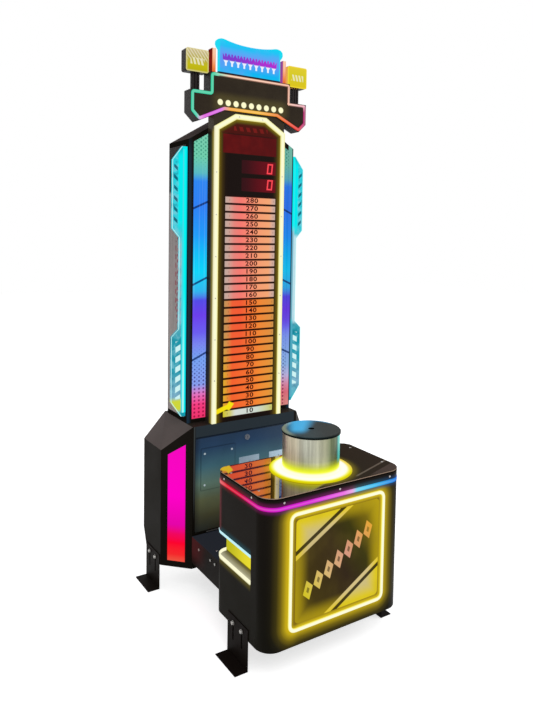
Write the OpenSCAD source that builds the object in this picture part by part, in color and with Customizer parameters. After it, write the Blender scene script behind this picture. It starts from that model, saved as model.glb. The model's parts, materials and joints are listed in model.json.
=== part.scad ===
// Strength tester arcade machine: a sprung striking pedestal joined by a low
// duct to a tall lit scale tower. Origin at the floor, in the middle of the
// footprint. Front is -Y, up is +Z, sizes in millimetres.

/* [Pedestal] */
// Width of the pedestal
ped_w = 624; // [610:1:630]
// Front to back size of the pedestal
ped_d = 356; // [350:1:360]
// Height of the glass top above the floor
ped_top = 650; // [640:1:655]
// Radius of the front corners
ped_rf = 62; // [50:1:70]
// Radius of the rear corners
ped_rr = 45; // [38:1:45]
// Height of the lit side recess
notch_h = 104; // [90:1:110]
// Depth of the lit side recess
notch_d = 50; // [44:1:54]
// Height of the ledge under the side recess
notch_z = 321; // [315:1:330]
// Half width of the lit front frame, to its centre line
neon_hw = 210; // [200:1:215]
// Width of a lit tube
neon_w = 14; // [10:1:16]
// Height of the coloured light strip under the trim
strip_h = 14; // [10:1:16]
// Height of the dark trim band
trim_h = 24; // [20:1:26]

/* [Striker] */
// Radius of the steel target sleeve
slv_r = 109; // [106:0.5:111]
// Height of the target pad above the floor
pad_top = 803; // [795:1:810]
// Thickness of the rubber pad
pad_t = 10; // [8:1:14]
// Travel of the target
travel = 28; // [20:1:28]
// Running clearance round the target sleeve
slv_gap = 0.8; // [0.5:0.1:1.5]
// Outer radius of the light ring
ring_r = 158; // [150:1:160]
// Radius of a guide post
post_r = 10; // [8:0.5:11]
// Wire diameter of a return spring
wire_d = 5; // [4:0.5:5]
// Turns in a return spring
turns = 5.5; // [4.5:0.5:5.5]

/* [Tower base] */
// Width of the tower base
base_w = 730; // [720:1:740]
// Half width of the flat front between the corner faces
front_hw = 265; // [262:1:267]
// Front to back size of the tower base
base_d = 290; // [285:1:292]
// Height where the shoulders start
sh_z0 = 612; // [605:1:620]
// Height of the shoulder top
sh_z1 = 722; // [718:1:726]
// Clearance from the floor to the cabinet
ground = 110; // [104:1:112]
// Thickness of the cabinet sheet
sheet = 3; // [2:0.5:3]
// Height of the duct
duct_h = 114; // [100:1:116]

/* [Doors] */
// Height of the coin door
door_h = 407; // [400:1:408]
// Gap round the coin door
door_gap = 3; // [2:0.5:4]
// Thickness of the door skins
skin = 2; // [1.5:0.5:2]
// Height of a coin plate
coin_h = 124; // [110:1:126]
// Width of a coin plate
coin_w = 102; // [90:1:104]
// Radius of a coin button
btn_r = 7; // [5:0.5:8]
// Travel of a coin button
btn_travel = 3.5; // [2:0.5:3.5]
// Radial running clearance of buttons, locks, bushes and hinge pins
run_gap = 0.07; // [0.03:0.01:0.09]
// Half width of the rear door
rd_x = 210; // [204:1:215]

/* [Column] */
// Half width of the column
col_hw = 265; // [262:1:267]
// Front to back size of the column
col_d = 199; // [190:1:205]
// Half width of the display box
dis_hw = 176; // [172:1:178]
// Front to back size of the display box
dis_d = 61; // [55:1:65]
// Height of the display top
dis_top = 2043; // [2035:1:2046]
// Width of the yellow display frame
frame_w = 22; // [18:1:24]
// Number of cells in the lit scale
cells = 28; // [20:1:28]
// Pitch of the cells
cell_p = 34.2; // [33:0.1:34.4]
// Reach of the wide part of a wing beyond the column
wing_out = 68; // [60:1:72]
// Reach of the narrow part of a wing
wing_in = 35; // [30:1:40]
// Thickness of a wing
wing_t = 10; // [8:1:12]

/* [Top] */
// Front to back size of the top box
mq_d = 66; // [54:1:72]
// Height of the wavy sign's ears
total_h = 2350; // [2345:1:2355]

/* [Feet] */
// Length of a foot bracket
foot_l = 145; // [130:1:146]
// Width of a foot bracket's flange
foot_w = 50; // [40:1:52]
// Thickness of a foot bracket
foot_t = 3; // [2.5:0.5:5]
// Spacing of the bolts in a bracket
bolt_p = 61; // [56:1:66]

/* [Hidden] */
$fn = 48;
fine = 96;
seat = 0.3;

// pedestal places
ped_y0 = -474;
ped_y1 = ped_y0 + ped_d;
ped_yc = (ped_y0 + ped_y1) / 2;
glass_t = 8;
lip = 8;
trim_z = ped_top - glass_t - trim_h;
strip_z = trim_z - strip_h;
notch_y = ped_y0 + 95;
notch_x = ped_w / 2 - notch_d;
edge_h = 10;
neon_z0 = 168;
neon_z1 = strip_z - 24;
neon_in = 22;

// striker places, from the deck up
deck_t = 6;
deck_z = strip_z - 74;
deck_top = deck_z + deck_t;
post_o = 55;
plate_z = strip_z;
plate_t = 12;
bush_r = 16;
bush_rim = 4;
bush_z = plate_z - bush_rim;
bush_h = 26;
bush_top = bush_z + bush_h;
slv_wall = 3;
slv_in = slv_r - slv_wall;
slv_z = plate_z - 8;
slv_top = pad_top - pad_t;
stop_o = 72;
flag_x = 78;

// tower places
by0 = 178;
by1 = by0 + base_d;
bw = base_w / 2;
byc = by0 + (bw - front_hw);
bev_y = by1 - 42;
bev_z = ground + 98;
duct_hw = min(front_hw, ped_w / 2 - ped_rr);
rail_h = 50;
door_z1 = sh_z1 - rail_h;
door_z0 = door_z1 - door_h;
knuckle_r = 4;
hin_z = door_z0 - 7;
duct_top = hin_z - knuckle_r - 2;
duct_z = duct_top - duct_h;
cy0 = by0 + dis_d;
cy1 = cy0 + col_d;
dis_y = by0 + 8;
roof_k = 0.6;
flat_hw = 77;
col_top = dis_top - (col_hw - flat_hw) * roof_k;
dis_side = dis_top - (dis_hw - flat_hw) * roof_k;
light_w = 65;
cell_z0 = sh_z1 + 20;
cell_x0 = -dis_hw + 56;
cell_x1 = dis_hw - 45;
cell_gap = 4.2;
wing_y = cy0 + 14;
wing_z = sh_z1 + 30;
mq_y0 = by0 - 4;
head_h = total_h - dis_top;
mq_z = dis_top + 9;
mq_top = mq_z + head_h * 71 / 307;
face_t = 4;
sign_y = by0 + 14;
sign_z = dis_top + head_h * 161 / 307;
sign_t = 12;

// head blocks stand beside the raised middle of the marquee
block_x = 250;
block_hw = 51;
mq_hw = block_x - block_hw - seat;

// doors, hinges and locks
door_hw = front_hw - 16;
pin_r = 2;
hin_y = by0 - knuckle_r - 0.5;
door_d = 20;
lock_z = door_z1 - 31;
lock_r = 9.9;
rosette_r = 12;
cam_l = 41;
cam_w = 14;
knuckles = [[-200, -140], [-30, 30], [140, 200]];
coin_xs = [12, 168];
coin_z = door_z0 + 165;
coin_t = 4;
slot_w = 3;
slot_h = 30;
btn_z = coin_z + 52;
mech_d = 60;
rd_z0 = 232;
rd_z1 = 600;
rd_d = 9;
rh_x = -rd_x - 6;
rh_y = by1 + 5;
rk_r = 4.5;
rh_zs = [290, 520];
rk_h = 12;
rl_x = rd_x - 45;
rl_z = (rd_z0 + rd_z1) / 2;
in_x = bw - 69;
in_z = 286;

// power supply and control board on the tower's floor
inner_y = by0 + 130;
inner_d = 100;
supply_w = 160;
board_w = 170;

// feet and bolts
foot_fy = ped_y0 + 103;
foot_ry = byc + 6;
foot_h = 152;
bolt_z = 127;
slot_r = 4.5;
slot_z0 = 66;
foot_bolts = [for (b = [[-ped_w / 2, foot_fy], [-bw, foot_ry]], s = [-1, 1])
  [b[0], b[1] + foot_l / 2 + s * bolt_p / 2]];
duct_bolts = [106, 4, -34];

// a polygon's points moved inwards by t, its points running anticlockwise
function inset(p, t) = [for (i = [0 : len(p) - 1])
  let (a = p[(i + len(p) - 1) % len(p)], b = p[i], c = p[(i + 1) % len(p)],
       u = (b - a) / norm(b - a), v = (c - b) / norm(c - b),
       n = [-u[1], u[0]], m = [-v[1], v[0]])
  b + t * (n + m) / (1 + n * m)];

base_plan = [[-bw, by1], [-bw, byc], [-front_hw, by0], [front_hw, by0], [bw, byc], [bw, by1]];
base_face = [[-bw, ground], [bw, ground], [bw, sh_z0], [front_hw, sh_z1],
  [-front_hw, sh_z1], [-bw, sh_z0]];
base_side = [[by0, ground], [bev_y, ground], [by1, bev_z], [by1, sh_z1], [by0, sh_z1]];

// house-shaped outlines of the column and the display: half width and eaves
function gable(hw, eaves) = [[-hw, sh_z1], [hw, sh_z1], [hw, eaves], [flat_hw, dis_top],
  [-flat_hw, dis_top], [-hw, eaves]];
col_face = gable(col_hw, col_top);
dis_face = gable(dis_hw, dis_side);
dis_inner = let (p = inset(dis_face, frame_w)) [[-dis_hw + frame_w, sh_z1],
  [dis_hw - frame_w, sh_z1], p[2], p[3], p[4], p[5]];

light_top = dis_side - 25;
light_face = [[-dis_hw - light_w, sh_z1 + 17], [-dis_hw, sh_z1 + 17], [-dis_hw, light_top],
  [-dis_hw - light_w, light_top - light_w * roof_k]];
wing_face = [[0, 0], [20, 0], [wing_out, 68], [wing_out, 346], [wing_in, 378], [wing_in, 766],
  [wing_out, 804], [wing_out, 1088], [24, 1146], [0, 1146]];
mq_face = [[130, mq_z], [250, mq_z - 54], [288, mq_z - 18], [288, mq_top], [mq_hw, mq_top],
  [mq_hw, sign_z], [-mq_hw, sign_z], [-mq_hw, mq_top], [-288, mq_top], [-288, mq_z - 18],
  [-250, mq_z - 54], [-130, mq_z]];
// outline of the box behind the display, up to the marquee's underside
box_side = mq_z - (dis_hw - 130) * 0.46;
box_face = [[-dis_hw, sh_z1], [dis_hw, sh_z1], [dis_hw, box_side], [130, mq_z], [-130, mq_z],
  [-dis_hw, box_side]];

// the wavy sign has rounded ears and a top that dips between them
sign_hw = 154;
ear_x = 130;
sign_ear = [[154, 46], [162, 37], [167, 25], [165, 12], [156, 4], [143, 0]];
sign_pts = concat([[-sign_hw, sign_z], [sign_hw, sign_z]],
  [for (p = sign_ear) [p[0], total_h - p[1]]],
  [for (k = [0 : 12]) let (x = ear_x * (1 - k / 6)) [x, total_h - 15 * (1 - pow(abs(x) / ear_x, 2.2))]],
  [for (k = [5 : -1 : 0]) [-sign_ear[k][0], total_h - sign_ear[k][1]]]);

// window in a corner face, measured along it from its outer edge
corner_w = (bw - front_hw) * sqrt(2);
win_edge = 31;
win_face = [[win_edge, 136], [corner_w - win_edge, 136],
  [corner_w - win_edge, sh_z1 - 77], [win_edge, sh_z0 - 16]];

module both() { children(); mirror([1, 0, 0]) children(); }
module bx(x0, x1, y0, y1, z0, z1) { translate([x0, y0, z0]) cube([x1 - x0, y1 - y0, z1 - z0]); }
module slab(z0, z1) { translate([0, 0, z0]) linear_extrude(z1 - z0) children(); }
module along_y(y0, y1) { translate([0, y1, 0]) rotate([90, 0, 0]) linear_extrude(y1 - y0) children(); }
module along_x(x0, x1) { translate([x0, 0, 0]) rotate([90, 0, 90]) linear_extrude(x1 - x0) children(); }
module rod_y(x, y0, y1, z, r) { translate([x, y0, z]) rotate([-90, 0, 0]) cylinder(r = r, h = y1 - y0); }
module rod_x(x0, x1, y, z, r) { translate([x0, y, z]) rotate([0, 90, 0]) cylinder(r = r, h = x1 - x0); }
module at_posts(z) {
  for (a = [-1, 1], b = [-1, 1]) translate([a * post_o, ped_yc + b * post_o, z]) children();
}

// rounded plan of the pedestal, grown by g
module ped_plan(g = 0) {
  x = ped_w / 2 + g;
  y0 = ped_y0 - g;
  y1 = ped_y1 + g;
  f = ped_rf + g;
  b = ped_rr + g;
  translate([-x, y0 + f]) square([2 * x, y1 - y0 - f - b]);
  translate([-x + f, y0]) square([2 * (x - f), f + 1]);
  translate([-x + b, y1 - b - 1]) square([2 * (x - b), b + 1]);
  for (s = [-1, 1]) {
    translate([s * (x - f), y0 + f]) circle(f);
    translate([s * (x - b), y1 - b]) circle(b);
  }
}
module ped_ring(z0, z1, g0, g1) { slab(z0, z1) difference() { ped_plan(g0); ped_plan(g1); } }

// rounded rectangle standing in the front plane
module rrect(hw, z0, z1, r) {
  translate([-hw + r, z0]) square([2 * (hw - r), z1 - z0]);
  translate([-hw, z0 + r]) square([2 * hw, z1 - z0 - 2 * r]);
  for (s = [-1, 1], z = [z0 + r, z1 - r]) translate([s * (hw - r), z]) circle(r);
}

module notch_box(g, out) {
  both() bx(notch_x - g, ped_w / 2 + out, notch_y - g, ped_y1 + out, notch_z - g, notch_z + notch_h + g);
}

module pedestal_shell() color([0.06, 0.06, 0.06]) difference() {
  slab(ground, strip_z) ped_plan();
  slab(ground + sheet, strip_z + 1) ped_plan(-sheet);
  notch_box(0, 5);
  for (p = foot_bolts) if (p[1] < 0) both() rod_x(p[0] - 1, p[0] + sheet + 1, p[1], bolt_z, 4.3);
}

module notch_liners() color([0.12, 0.12, 0.12]) intersection() {
  difference() {
    notch_box(skin, 0);
    notch_box(0, 5);
  }
  slab(notch_z - skin, notch_z + notch_h + skin) ped_plan(-sheet);
}

module notch_panels() color([0.95, 0.85, 0.1]) {
  both() bx(notch_x, notch_x + 3, notch_y + 1, ped_y1 - sheet - 1 - seat, notch_z + 1, notch_z + notch_h - edge_h - 1);
}

module notch_strips() color([1, 0.95, 0.5]) intersection() {
  union() {
    ped_ring(notch_z, notch_z + edge_h, 1, -sheet - 1);
    ped_ring(notch_z + notch_h - edge_h, notch_z + notch_h, 1, -sheet - 1);
  }
  both() bx(notch_x + 0.2, ped_w / 2 + 5, notch_y, ped_y1 + 5, notch_z, notch_z + notch_h);
}

module front_panel() color([0.95, 0.8, 0.15]) {
  along_y(ped_y0 - 2, ped_y0) rrect(neon_hw - neon_in, neon_z0 + neon_in, neon_z1 - neon_in, 14);
}

module front_neon() color([1, 0.95, 0.55]) {
  h = neon_w / 2;
  along_y(ped_y0 - 6, ped_y0) difference() {
    rrect(neon_hw + h, neon_z0 - h, neon_z1 + h, 25 + h);
    rrect(neon_hw - h, neon_z0 + h, neon_z1 - h, 25 - h);
  }
}

module rgb_strip() color([0.85, 0.2, 0.9]) { ped_ring(strip_z, trim_z, 1, -lip); }

module top_trim() color([0.08, 0.08, 0.08]) { ped_ring(trim_z, ped_top - glass_t, 0, -lip); }

module top_glass() color([0.03, 0.03, 0.04]) difference() {
  slab(ped_top - glass_t, ped_top) ped_plan();
  translate([0, ped_yc, ped_top - glass_t - 1]) cylinder(r = slv_r + slv_gap, h = glass_t + 2, $fn = fine);
}

module glow_ring() color([1, 1, 0.4]) {
  translate([0, ped_yc, ped_top]) rotate_extrude($fn = fine)
    polygon([[slv_r + slv_gap, 0], [ring_r, 0], [ring_r, 2], [ring_r - 4, 5], [slv_r + slv_gap, 5]]);
}

module screws() color([0.8, 0.8, 0.8]) {
  sz = trim_z + trim_h / 2;
  for (x = [-240, 0, 240]) rod_y(x, ped_y0 - 2, ped_y0, sz, 4);
  for (x = [-180, 180]) rod_y(x, ped_y1, ped_y1 + 2, sz, 4);
  both() for (y = [ped_y0 + 95, ped_y1 - 65]) rod_x(ped_w / 2, ped_w / 2 + 2, y, sz, 4);
  both() for (y = [ped_y0 + 92, ped_y1 - 70]) translate([ped_w / 2 - 27, y, ped_top]) cylinder(r = 4.5, h = 1.5);
  both() {
    for (z = [sh_z1 + 186 : 177 : light_top]) rod_y(dis_hw - frame_w / 2, by0 - 1.5, by0, z, 3);
    rod_y(flat_hw - 19, by0 - 1.5, by0, dis_top - frame_w / 2, 3);
    for (z = [sh_z1 + 63 : 264 : col_top - 60]) rod_y(col_hw - 50, cy1 + 2.5, cy1 + 4.5, z, 4);
  }
  translate([-duct_hw + 32, by0 - 164, duct_top]) cylinder(r = 5, h = 2);
}

module deck_plate() color([0.5, 0.5, 0.52]) { slab(deck_z, deck_top) ped_plan(-sheet); }

// each post ends in a washer and a nut that hold the bushes down
module guide_posts() color([0.75, 0.75, 0.77]) {
  at_posts(deck_top) {
    cylinder(r = post_r, h = bush_top + 1 - deck_top);
    translate([0, 0, bush_top + seat - deck_top]) {
      cylinder(r = 15, h = 4);
      translate([0, 0, 4]) cylinder(r = 11, h = 9);
    }
  }
}

// return spring: a helix with closed ends, held just clear of its seats
spr_r = bush_r - 1 + wire_d / 2;
spr_z0 = deck_top + wire_d / 2 + 0.1;
spr_z1 = bush_z - wire_d / 2 - 0.1;
ring_n = 10;
side_n = 6;
steps = floor(turns * ring_n);
function spr_at(k) = let (t = k / ring_n, g = min(1, max(0, (t - 0.5) / (turns - 1))))
  [spr_r * cos(360 * t), spr_r * sin(360 * t), spr_z0 + (spr_z1 - spr_z0) * g];
function spr_ring(k) = let (a = 360 * k / ring_n)
  [for (j = [0 : side_n - 1]) let (b = 360 * j / side_n)
    spr_at(k) + wire_d / 2 * [cos(b) * cos(a), cos(b) * sin(a), sin(b)]];
module spring() {
  sides = [for (k = [0 : steps - 1], j = [0 : side_n - 1]) let (q = (j + 1) % side_n)
    [k * side_n + j, (k + 1) * side_n + j, (k + 1) * side_n + q, k * side_n + q]];
  polyhedron([for (k = [0 : steps]) each spr_ring(k)], concat([[for (j = [0 : side_n - 1]) j]],
    sides, [[for (j = [side_n - 1 : -1 : 0]) steps * side_n + j]]));
}
module post_springs() color([0.6, 0.6, 0.62]) { at_posts(0) spring(); }

module bump_stops() color([0.1, 0.1, 0.1]) {
  for (b = [-1, 1]) translate([0, ped_yc + b * stop_o, deck_top]) {
    cylinder(r = 20, h = 14);
    cylinder(r1 = 18, r2 = 14, h = plate_z - travel - deck_top - seat);
  }
}

module strike_sensor() color([0.1, 0.25, 0.15]) {
  translate([flag_x, ped_yc, deck_top]) difference() {
    translate([-10, -11, 0]) cube([20, 22, 37]);
    translate([-11, -3, 10]) cube([22, 6, 40]);
  }
}

module duct_box() color([0.05, 0.05, 0.06]) {
  along_y(ped_y1, by0) difference() {
    translate([-duct_hw, duct_z]) square([2 * duct_hw, duct_h]);
    translate([-duct_hw + sheet, duct_z + sheet]) square([2 * (duct_hw - sheet), duct_h - 2 * sheet]);
  }
}

module base_solid(t) intersection() {
  slab(ground - 1, sh_z1 + 1) polygon(inset(base_plan, t));
  along_y(by0 - 1, by1 + 1) polygon(inset(base_face, t));
  along_x(-bw - 1, bw + 1) polygon(inset(base_side, t));
}

// window shape in the right corner face, from d0 to d1 below its surface
module corner_cut(d0, d1) {
  translate([bw, byc, 0]) rotate([0, 0, -135]) rotate([90, 0, 0])
    translate([0, 0, d0]) linear_extrude(d1 - d0) polygon(win_face);
}

module base_shell() color([0.07, 0.07, 0.07]) difference() {
  base_solid(0);
  base_solid(sheet);
  bx(-door_hw - door_gap, door_hw + door_gap, by0 - 1, by0 + sheet + 1, door_z0 - door_gap, door_z1 + door_gap);
  bx(-rd_x + 20, rd_x - 20, by1 - sheet - 1, by1 + 1, rd_z0 + 18, rd_z1 - 15);
  bx(in_x - 24, in_x + 24, by1 - sheet - 1, by1 + 1, in_z - 34, in_z + 34);
  both() corner_cut(-1, sheet + 1);
  for (p = foot_bolts) if (p[1] > 0) both() rod_x(p[0] - 1, p[0] + sheet + 1, p[1], bolt_z, 4.3);
}

module corner_windows() color([1, 0.05, 0.7]) { both() corner_cut(0.5, sheet + 1.5); }

module column_shell() color([0.07, 0.07, 0.08]) difference() {
  along_y(cy0, cy1) polygon(col_face);
  along_y(cy0 + sheet, cy1 - sheet) polygon(inset(col_face, sheet));
  both() along_y(cy0 - 1, cy0 + sheet + 1) polygon(light_face);
}

module column_rear_panel() color([0.1, 0.1, 0.1]) difference() {
  bx(-col_hw + 35, col_hw - 35, cy1, cy1 + 2.5, sh_z1 + 38, col_top - 60);
  for (z0 = [sh_z1 + 138, col_top - 290], k = [0 : 9])
    both() bx(40, 160, cy1 - 1, cy1 + 4, z0 + 18 * k, z0 + 6 + 18 * k);
}

module column_lights() color([0.3, 0.6, 1]) { both() along_y(cy0 + 0.5, cy0 + 4.5) polygon(light_face); }

module display_box() color([0.1, 0.1, 0.05]) difference() {
  along_y(dis_y, cy0) polygon(box_face);
  along_y(dis_y + sheet, cy0 - sheet) polygon(inset(box_face, sheet));
  along_y(dis_y - 1, dis_y + sheet + 1) polygon(inset(dis_face, sheet));
}

module display_frame() color([0.95, 0.95, 0.4]) difference() {
  along_y(by0, dis_y) polygon(dis_face);
  along_y(by0 - 1, dis_y + 1) polygon(dis_inner);
  along_y(by0 - 1, dis_y + 1) translate([-dis_hw + frame_w, sh_z1 - 1]) square([2 * (dis_hw - frame_w), 2]);
}

module display_glass() color([0.02, 0.02, 0.02]) { along_y(by0 + 4, dis_y) polygon(dis_inner); }

module scale_cells() color([1, 0.35, 0.2]) {
  for (k = [0 : cells - 1]) let (z = cell_z0 + k * cell_p)
    bx(cell_x0, cell_x1, by0 + 2, by0 + 4, z, z + cell_p - cell_gap);
}

// an upright zero: a slanted bar frame of height h, width w and bar b
module zero(h, w, b) {
  multmatrix([[1, 0.1, 0, 0], [0, 1, 0, 0], [0, 0, 1, 0], [0, 0, 0, 1]]) difference() {
    square([w, h]);
    translate([b, b]) square([w - 2 * b, h - 2 * b]);
  }
}
module score_digits() color([1, 0.1, 0.1]) {
  along_y(by0 + 2.5, by0 + 4) for (z = [dis_top - 243, dis_top - 313]) translate([85, z]) zero(45, 28, 6);
}

module wings() color([0.2, 0.8, 0.85]) {
  both() along_y(wing_y, wing_y + wing_t) translate([col_hw, wing_z]) polygon(wing_face);
}

module wing_bands() color([0, 1, 1]) {
  both() bx(col_hw + 1, col_hw + 19, wing_y - 5, wing_y, wing_z + 18, wing_z + 1133);
}

module side_panels() color([0.45, 0.43, 0.42]) {
  both() bx(col_hw, col_hw + 2, wing_y + wing_t + 3, cy1 - 8, sh_z1 + 23, col_top - 22);
}

module marquee_box() color([0.05, 0.05, 0.05]) difference() {
  along_y(mq_y0 + face_t, mq_y0 + mq_d) polygon(mq_face);
  along_y(mq_y0 + face_t - 1, mq_y0 + mq_d - 3) polygon(inset(mq_face, 3));
}

module marquee_neon() color([0.9, 0.6, 0.9]) {
  along_y(mq_y0, mq_y0 + face_t) difference() {
    polygon(inset(mq_face, 1));
    polygon(inset(mq_face, 1 + neon_w));
  }
}

module marquee_face() color([0.15, 0.1, 0.1]) {
  along_y(mq_y0 + face_t, mq_y0 + 2 * face_t) polygon(inset(mq_face, 3));
}

module sign_panel() color([0.1, 0.5, 1]) { along_y(sign_y, sign_y + sign_t) polygon(sign_pts); }

module sign_bars() color([1, 0.5, 0.15]) {
  both() bx(168, 184, sign_y, sign_y + 36, sign_z, sign_z + 101);
}

// block outline over the marquee's end, grown inwards by t
module block_face(t) { translate([block_x, 0]) rrect(block_hw - t, sign_z - 6 + t, sign_z + 86 - t, 8 - t); }

module head_blocks() color([0.1, 0.08, 0.06]) {
  under = sign_z - 6;
  both() {
    difference() {
      along_y(by0 + 20, by0 + 64) block_face(0);
      along_y(by0 + 19, by0 + 61) block_face(3);
    }
    for (x = [234, 246, 258]) bx(x, x + 8, by0 + 30, by0 + 52, mq_top, under);
    bx(232, 268, by0 + 36, by0 + 46, mq_top, under);
  }
}

module head_faces() color([0.85, 0.8, 0.35]) { both() along_y(by0 + 17, by0 + 20) block_face(0); }

// angle bracket on the left side: x0 is the cabinet's side, y0 the front end
module foot(x0, y0) difference() {
  union() {
    bx(x0 - foot_t, x0, y0, y0 + foot_l, 0, foot_h);
    bx(x0 - foot_t - foot_w, x0 - foot_t, y0, y0 + foot_l, 0, foot_t);
  }
  for (s = [-1, 1]) let (yc = y0 + foot_l / 2 + s * bolt_p / 2) {
    bx(x0 - foot_t - 1, x0 + 1, yc - slot_r, yc + slot_r, slot_z0, bolt_z);
    for (z = [slot_z0, bolt_z]) rod_x(x0 - foot_t - 1, x0 + 1, yc, z, slot_r);
  }
}
module foot_brackets() color([0.08, 0.08, 0.08]) {
  both() {
    foot(-ped_w / 2, foot_fy);
    foot(-bw, foot_ry);
  }
}

// washer, head and shank of each foot bolt, and the duct's side screws
module bolts() color([0.75, 0.75, 0.75]) {
  both() {
    for (p = foot_bolts) let (x = p[0] - foot_t) {
      rod_x(x - 1.6, x, p[1], bolt_z, 8);
      rod_x(x - 6.6, x - 1.6, p[1], bolt_z, 6.5);
      rod_x(x, p[0] + 10, p[1], bolt_z, 4);
    }
    for (y = duct_bolts) rod_x(-duct_hw - 4, -duct_hw, y, duct_top - 26, 5);
  }
}

module door_hinge() color([0.55, 0.55, 0.56]) {
  for (s = knuckles) {
    rod_x(s[0], s[1], hin_y, hin_z, knuckle_r);
    bx(s[0], s[1], hin_y + 2, by0, hin_z - 5, hin_z);
  }
  rod_x(knuckles[0][0], knuckles[2][1], hin_y, hin_z, pin_r);
}

module coin_cuts(y0, y1) {
  for (x = coin_xs) {
    bx(x - slot_w / 2, x + slot_w / 2, y0, y1, coin_z + coin_h - 18 - slot_h, coin_z + coin_h - 18);
    rod_y(x, y0, y1, btn_z, btn_r + run_gap);
  }
}

module front_door() color([0.1, 0.14, 0.2]) {
  difference() {
    bx(-door_hw, door_hw, by0, by0 + door_d, door_z0, door_z1);
    bx(-door_hw + skin, door_hw - skin, by0 + skin, by0 + door_d + 1, door_z0 + skin, door_z1 - skin);
    bx(-36, 36, by0 + skin + 0.5, by0 + door_d + 1, door_z1 - skin - 1, door_z1 + 1);
    rod_y(0, by0 - 1, by0 + skin + 1, lock_z, lock_r);
    coin_cuts(by0 - 1, by0 + skin + 1);
  }
  difference() {
    for (i = [0, 1]) let (x0 = knuckles[i][1] + seat, x1 = knuckles[i + 1][0] - seat) {
      rod_x(x0, x1, hin_y, hin_z, knuckle_r);
      bx(x0, x1, hin_y + 2.2, by0 - seat, hin_z, door_z0 + 15);
      bx(x0, x1, by0 - 0.5, by0, door_z0 + 2, door_z0 + 15);
    }
    rod_x(knuckles[0][0] - 1, knuckles[2][1] + 1, hin_y, hin_z, pin_r + run_gap);
  }
}

module blanking_plate() color([0.1, 0.15, 0.2]) {
  bx(-226, -60, by0 - 2, by0, door_z0 + 176, door_z0 + 358);
  for (x = [-209, -77], z = [door_z0 + 199, door_z0 + 335]) rod_y(x, by0 - 4, by0 - 2, z, 4.5);
}

module coin_plates() color([0.85, 0.88, 0.9]) difference() {
  for (x = coin_xs) bx(x - coin_w / 2, x + coin_w / 2, by0 - coin_t, by0, coin_z, coin_z + coin_h);
  coin_cuts(by0 - coin_t - 1, by0 + 1);
}

module coin_mechs() color([0.2, 0.2, 0.22]) difference() {
  for (x = coin_xs) bx(x - 40, x + 40, by0 + skin, by0 + mech_d, coin_z + 6, coin_z + coin_h - 6);
  for (x = coin_xs) rod_y(x, by0 + skin - 1, by0 + 16, btn_z, btn_r + 3);
}

module coin_button(x) color([0.9, 0.15, 0.1]) {
  rod_y(x, by0 - coin_t - 5, by0 + 8, btn_z, btn_r);
  rod_y(x, by0 + skin + seat, by0 + skin + seat + 2, btn_z, btn_r + 2);
}
module coin_button_left() coin_button(coin_xs[0]);
module coin_button_right() coin_button(coin_xs[1]);

module door_lock() color([0.75, 0.75, 0.77]) {
  difference() {
    rod_y(0, by0 - 6, by0 - seat, lock_z, rosette_r);
    bx(-1, 1, by0 - 7, by0 - 3, lock_z - 5, lock_z + 5);
  }
  rod_y(0, by0 - seat, by0 + 8, lock_z, lock_r - run_gap);
  bx(lock_r - 1, cam_l, by0 + sheet + 0.5, by0 + sheet + 3.5, lock_z - cam_w / 2, lock_z + cam_w / 2);
}

module rear_hinge() color([0.55, 0.55, 0.56]) {
  for (z = rh_zs) {
    for (s = [z, z + 28]) {
      translate([rh_x, rh_y, s]) cylinder(r = rk_r, h = rk_h);
      bx(rh_x - 22, rh_x, by1, by1 + 2, s, s + rk_h);
    }
    translate([rh_x, rh_y, z]) cylinder(r = pin_r, h = 40);
  }
}

module rear_door() color([0.1, 0.1, 0.1]) {
  difference() {
    bx(-rd_x, rd_x, by1 + seat, by1 + rd_d, rd_z0, rd_z1);
    bx(-rd_x + skin, rd_x - skin, by1, by1 + rd_d - skin, rd_z0 + skin, rd_z1 - skin);
    rod_y(rl_x, by1 + rd_d - skin - 1, by1 + rd_d + 1, rl_z, lock_r);
    for (k = [0 : 5]) bx(-110, 90, by1 + rd_d - skin - 1, by1 + rd_d + 1, rd_z1 - 100 + 14 * k, rd_z1 - 95 + 14 * k);
  }
  for (z = rh_zs) difference() {
    union() {
      translate([rh_x, rh_y, z + rk_h + seat]) cylinder(r = rk_r, h = 16 - 2 * seat);
      bx(rh_x, -rd_x, rh_y - 1, rh_y + 3, z + rk_h + seat, z + rk_h + 16 - seat);
    }
    translate([rh_x, rh_y, z]) cylinder(r = pin_r + run_gap, h = 40);
  }
}

module rear_lock() color([0.75, 0.75, 0.77]) {
  difference() {
    rod_y(rl_x, by1 + rd_d + seat, by1 + rd_d + seat + 2.7, rl_z, rosette_r);
    bx(rl_x - 5, rl_x + 5, by1 + rd_d + 1.5, by1 + rd_d + 4, rl_z - 1, rl_z + 1);
  }
  rod_y(rl_x, by1 - 10, by1 + rd_d + seat, rl_z, lock_r - run_gap);
  bx(rl_x - cam_w / 2, rl_x + cam_w / 2, by1 - 8, by1 - 5, rl_z + lock_r - 1, rl_z + 37);
}

module power_inlet() color([0.06, 0.06, 0.06]) {
  difference() {
    union() {
      bx(in_x - 30, in_x + 30, by1, by1 + 2, in_z - 40, in_z + 40);
      bx(in_x - 24, in_x + 24, by1 - 26, by1, in_z - 34, in_z + 34);
    }
    bx(in_x - 13, in_x + 13, by1 - 18, by1 + 3, in_z - 28, in_z - 8);
    bx(in_x - 11, in_x + 11, by1 - 14, by1 + 3, in_z + 4, in_z + 30);
  }
  for (x = [-7, 0, 7]) bx(in_x + x - 1, in_x + x + 1, by1 - 18, by1 - 6, in_z - 14, in_z - 10);
  for (s = [[-11, -4.5], [4.5, 11]]) rod_x(in_x + s[0], in_x + s[1], by1 - 4, in_z + 17, pin_r - 0.5);
}

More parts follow.
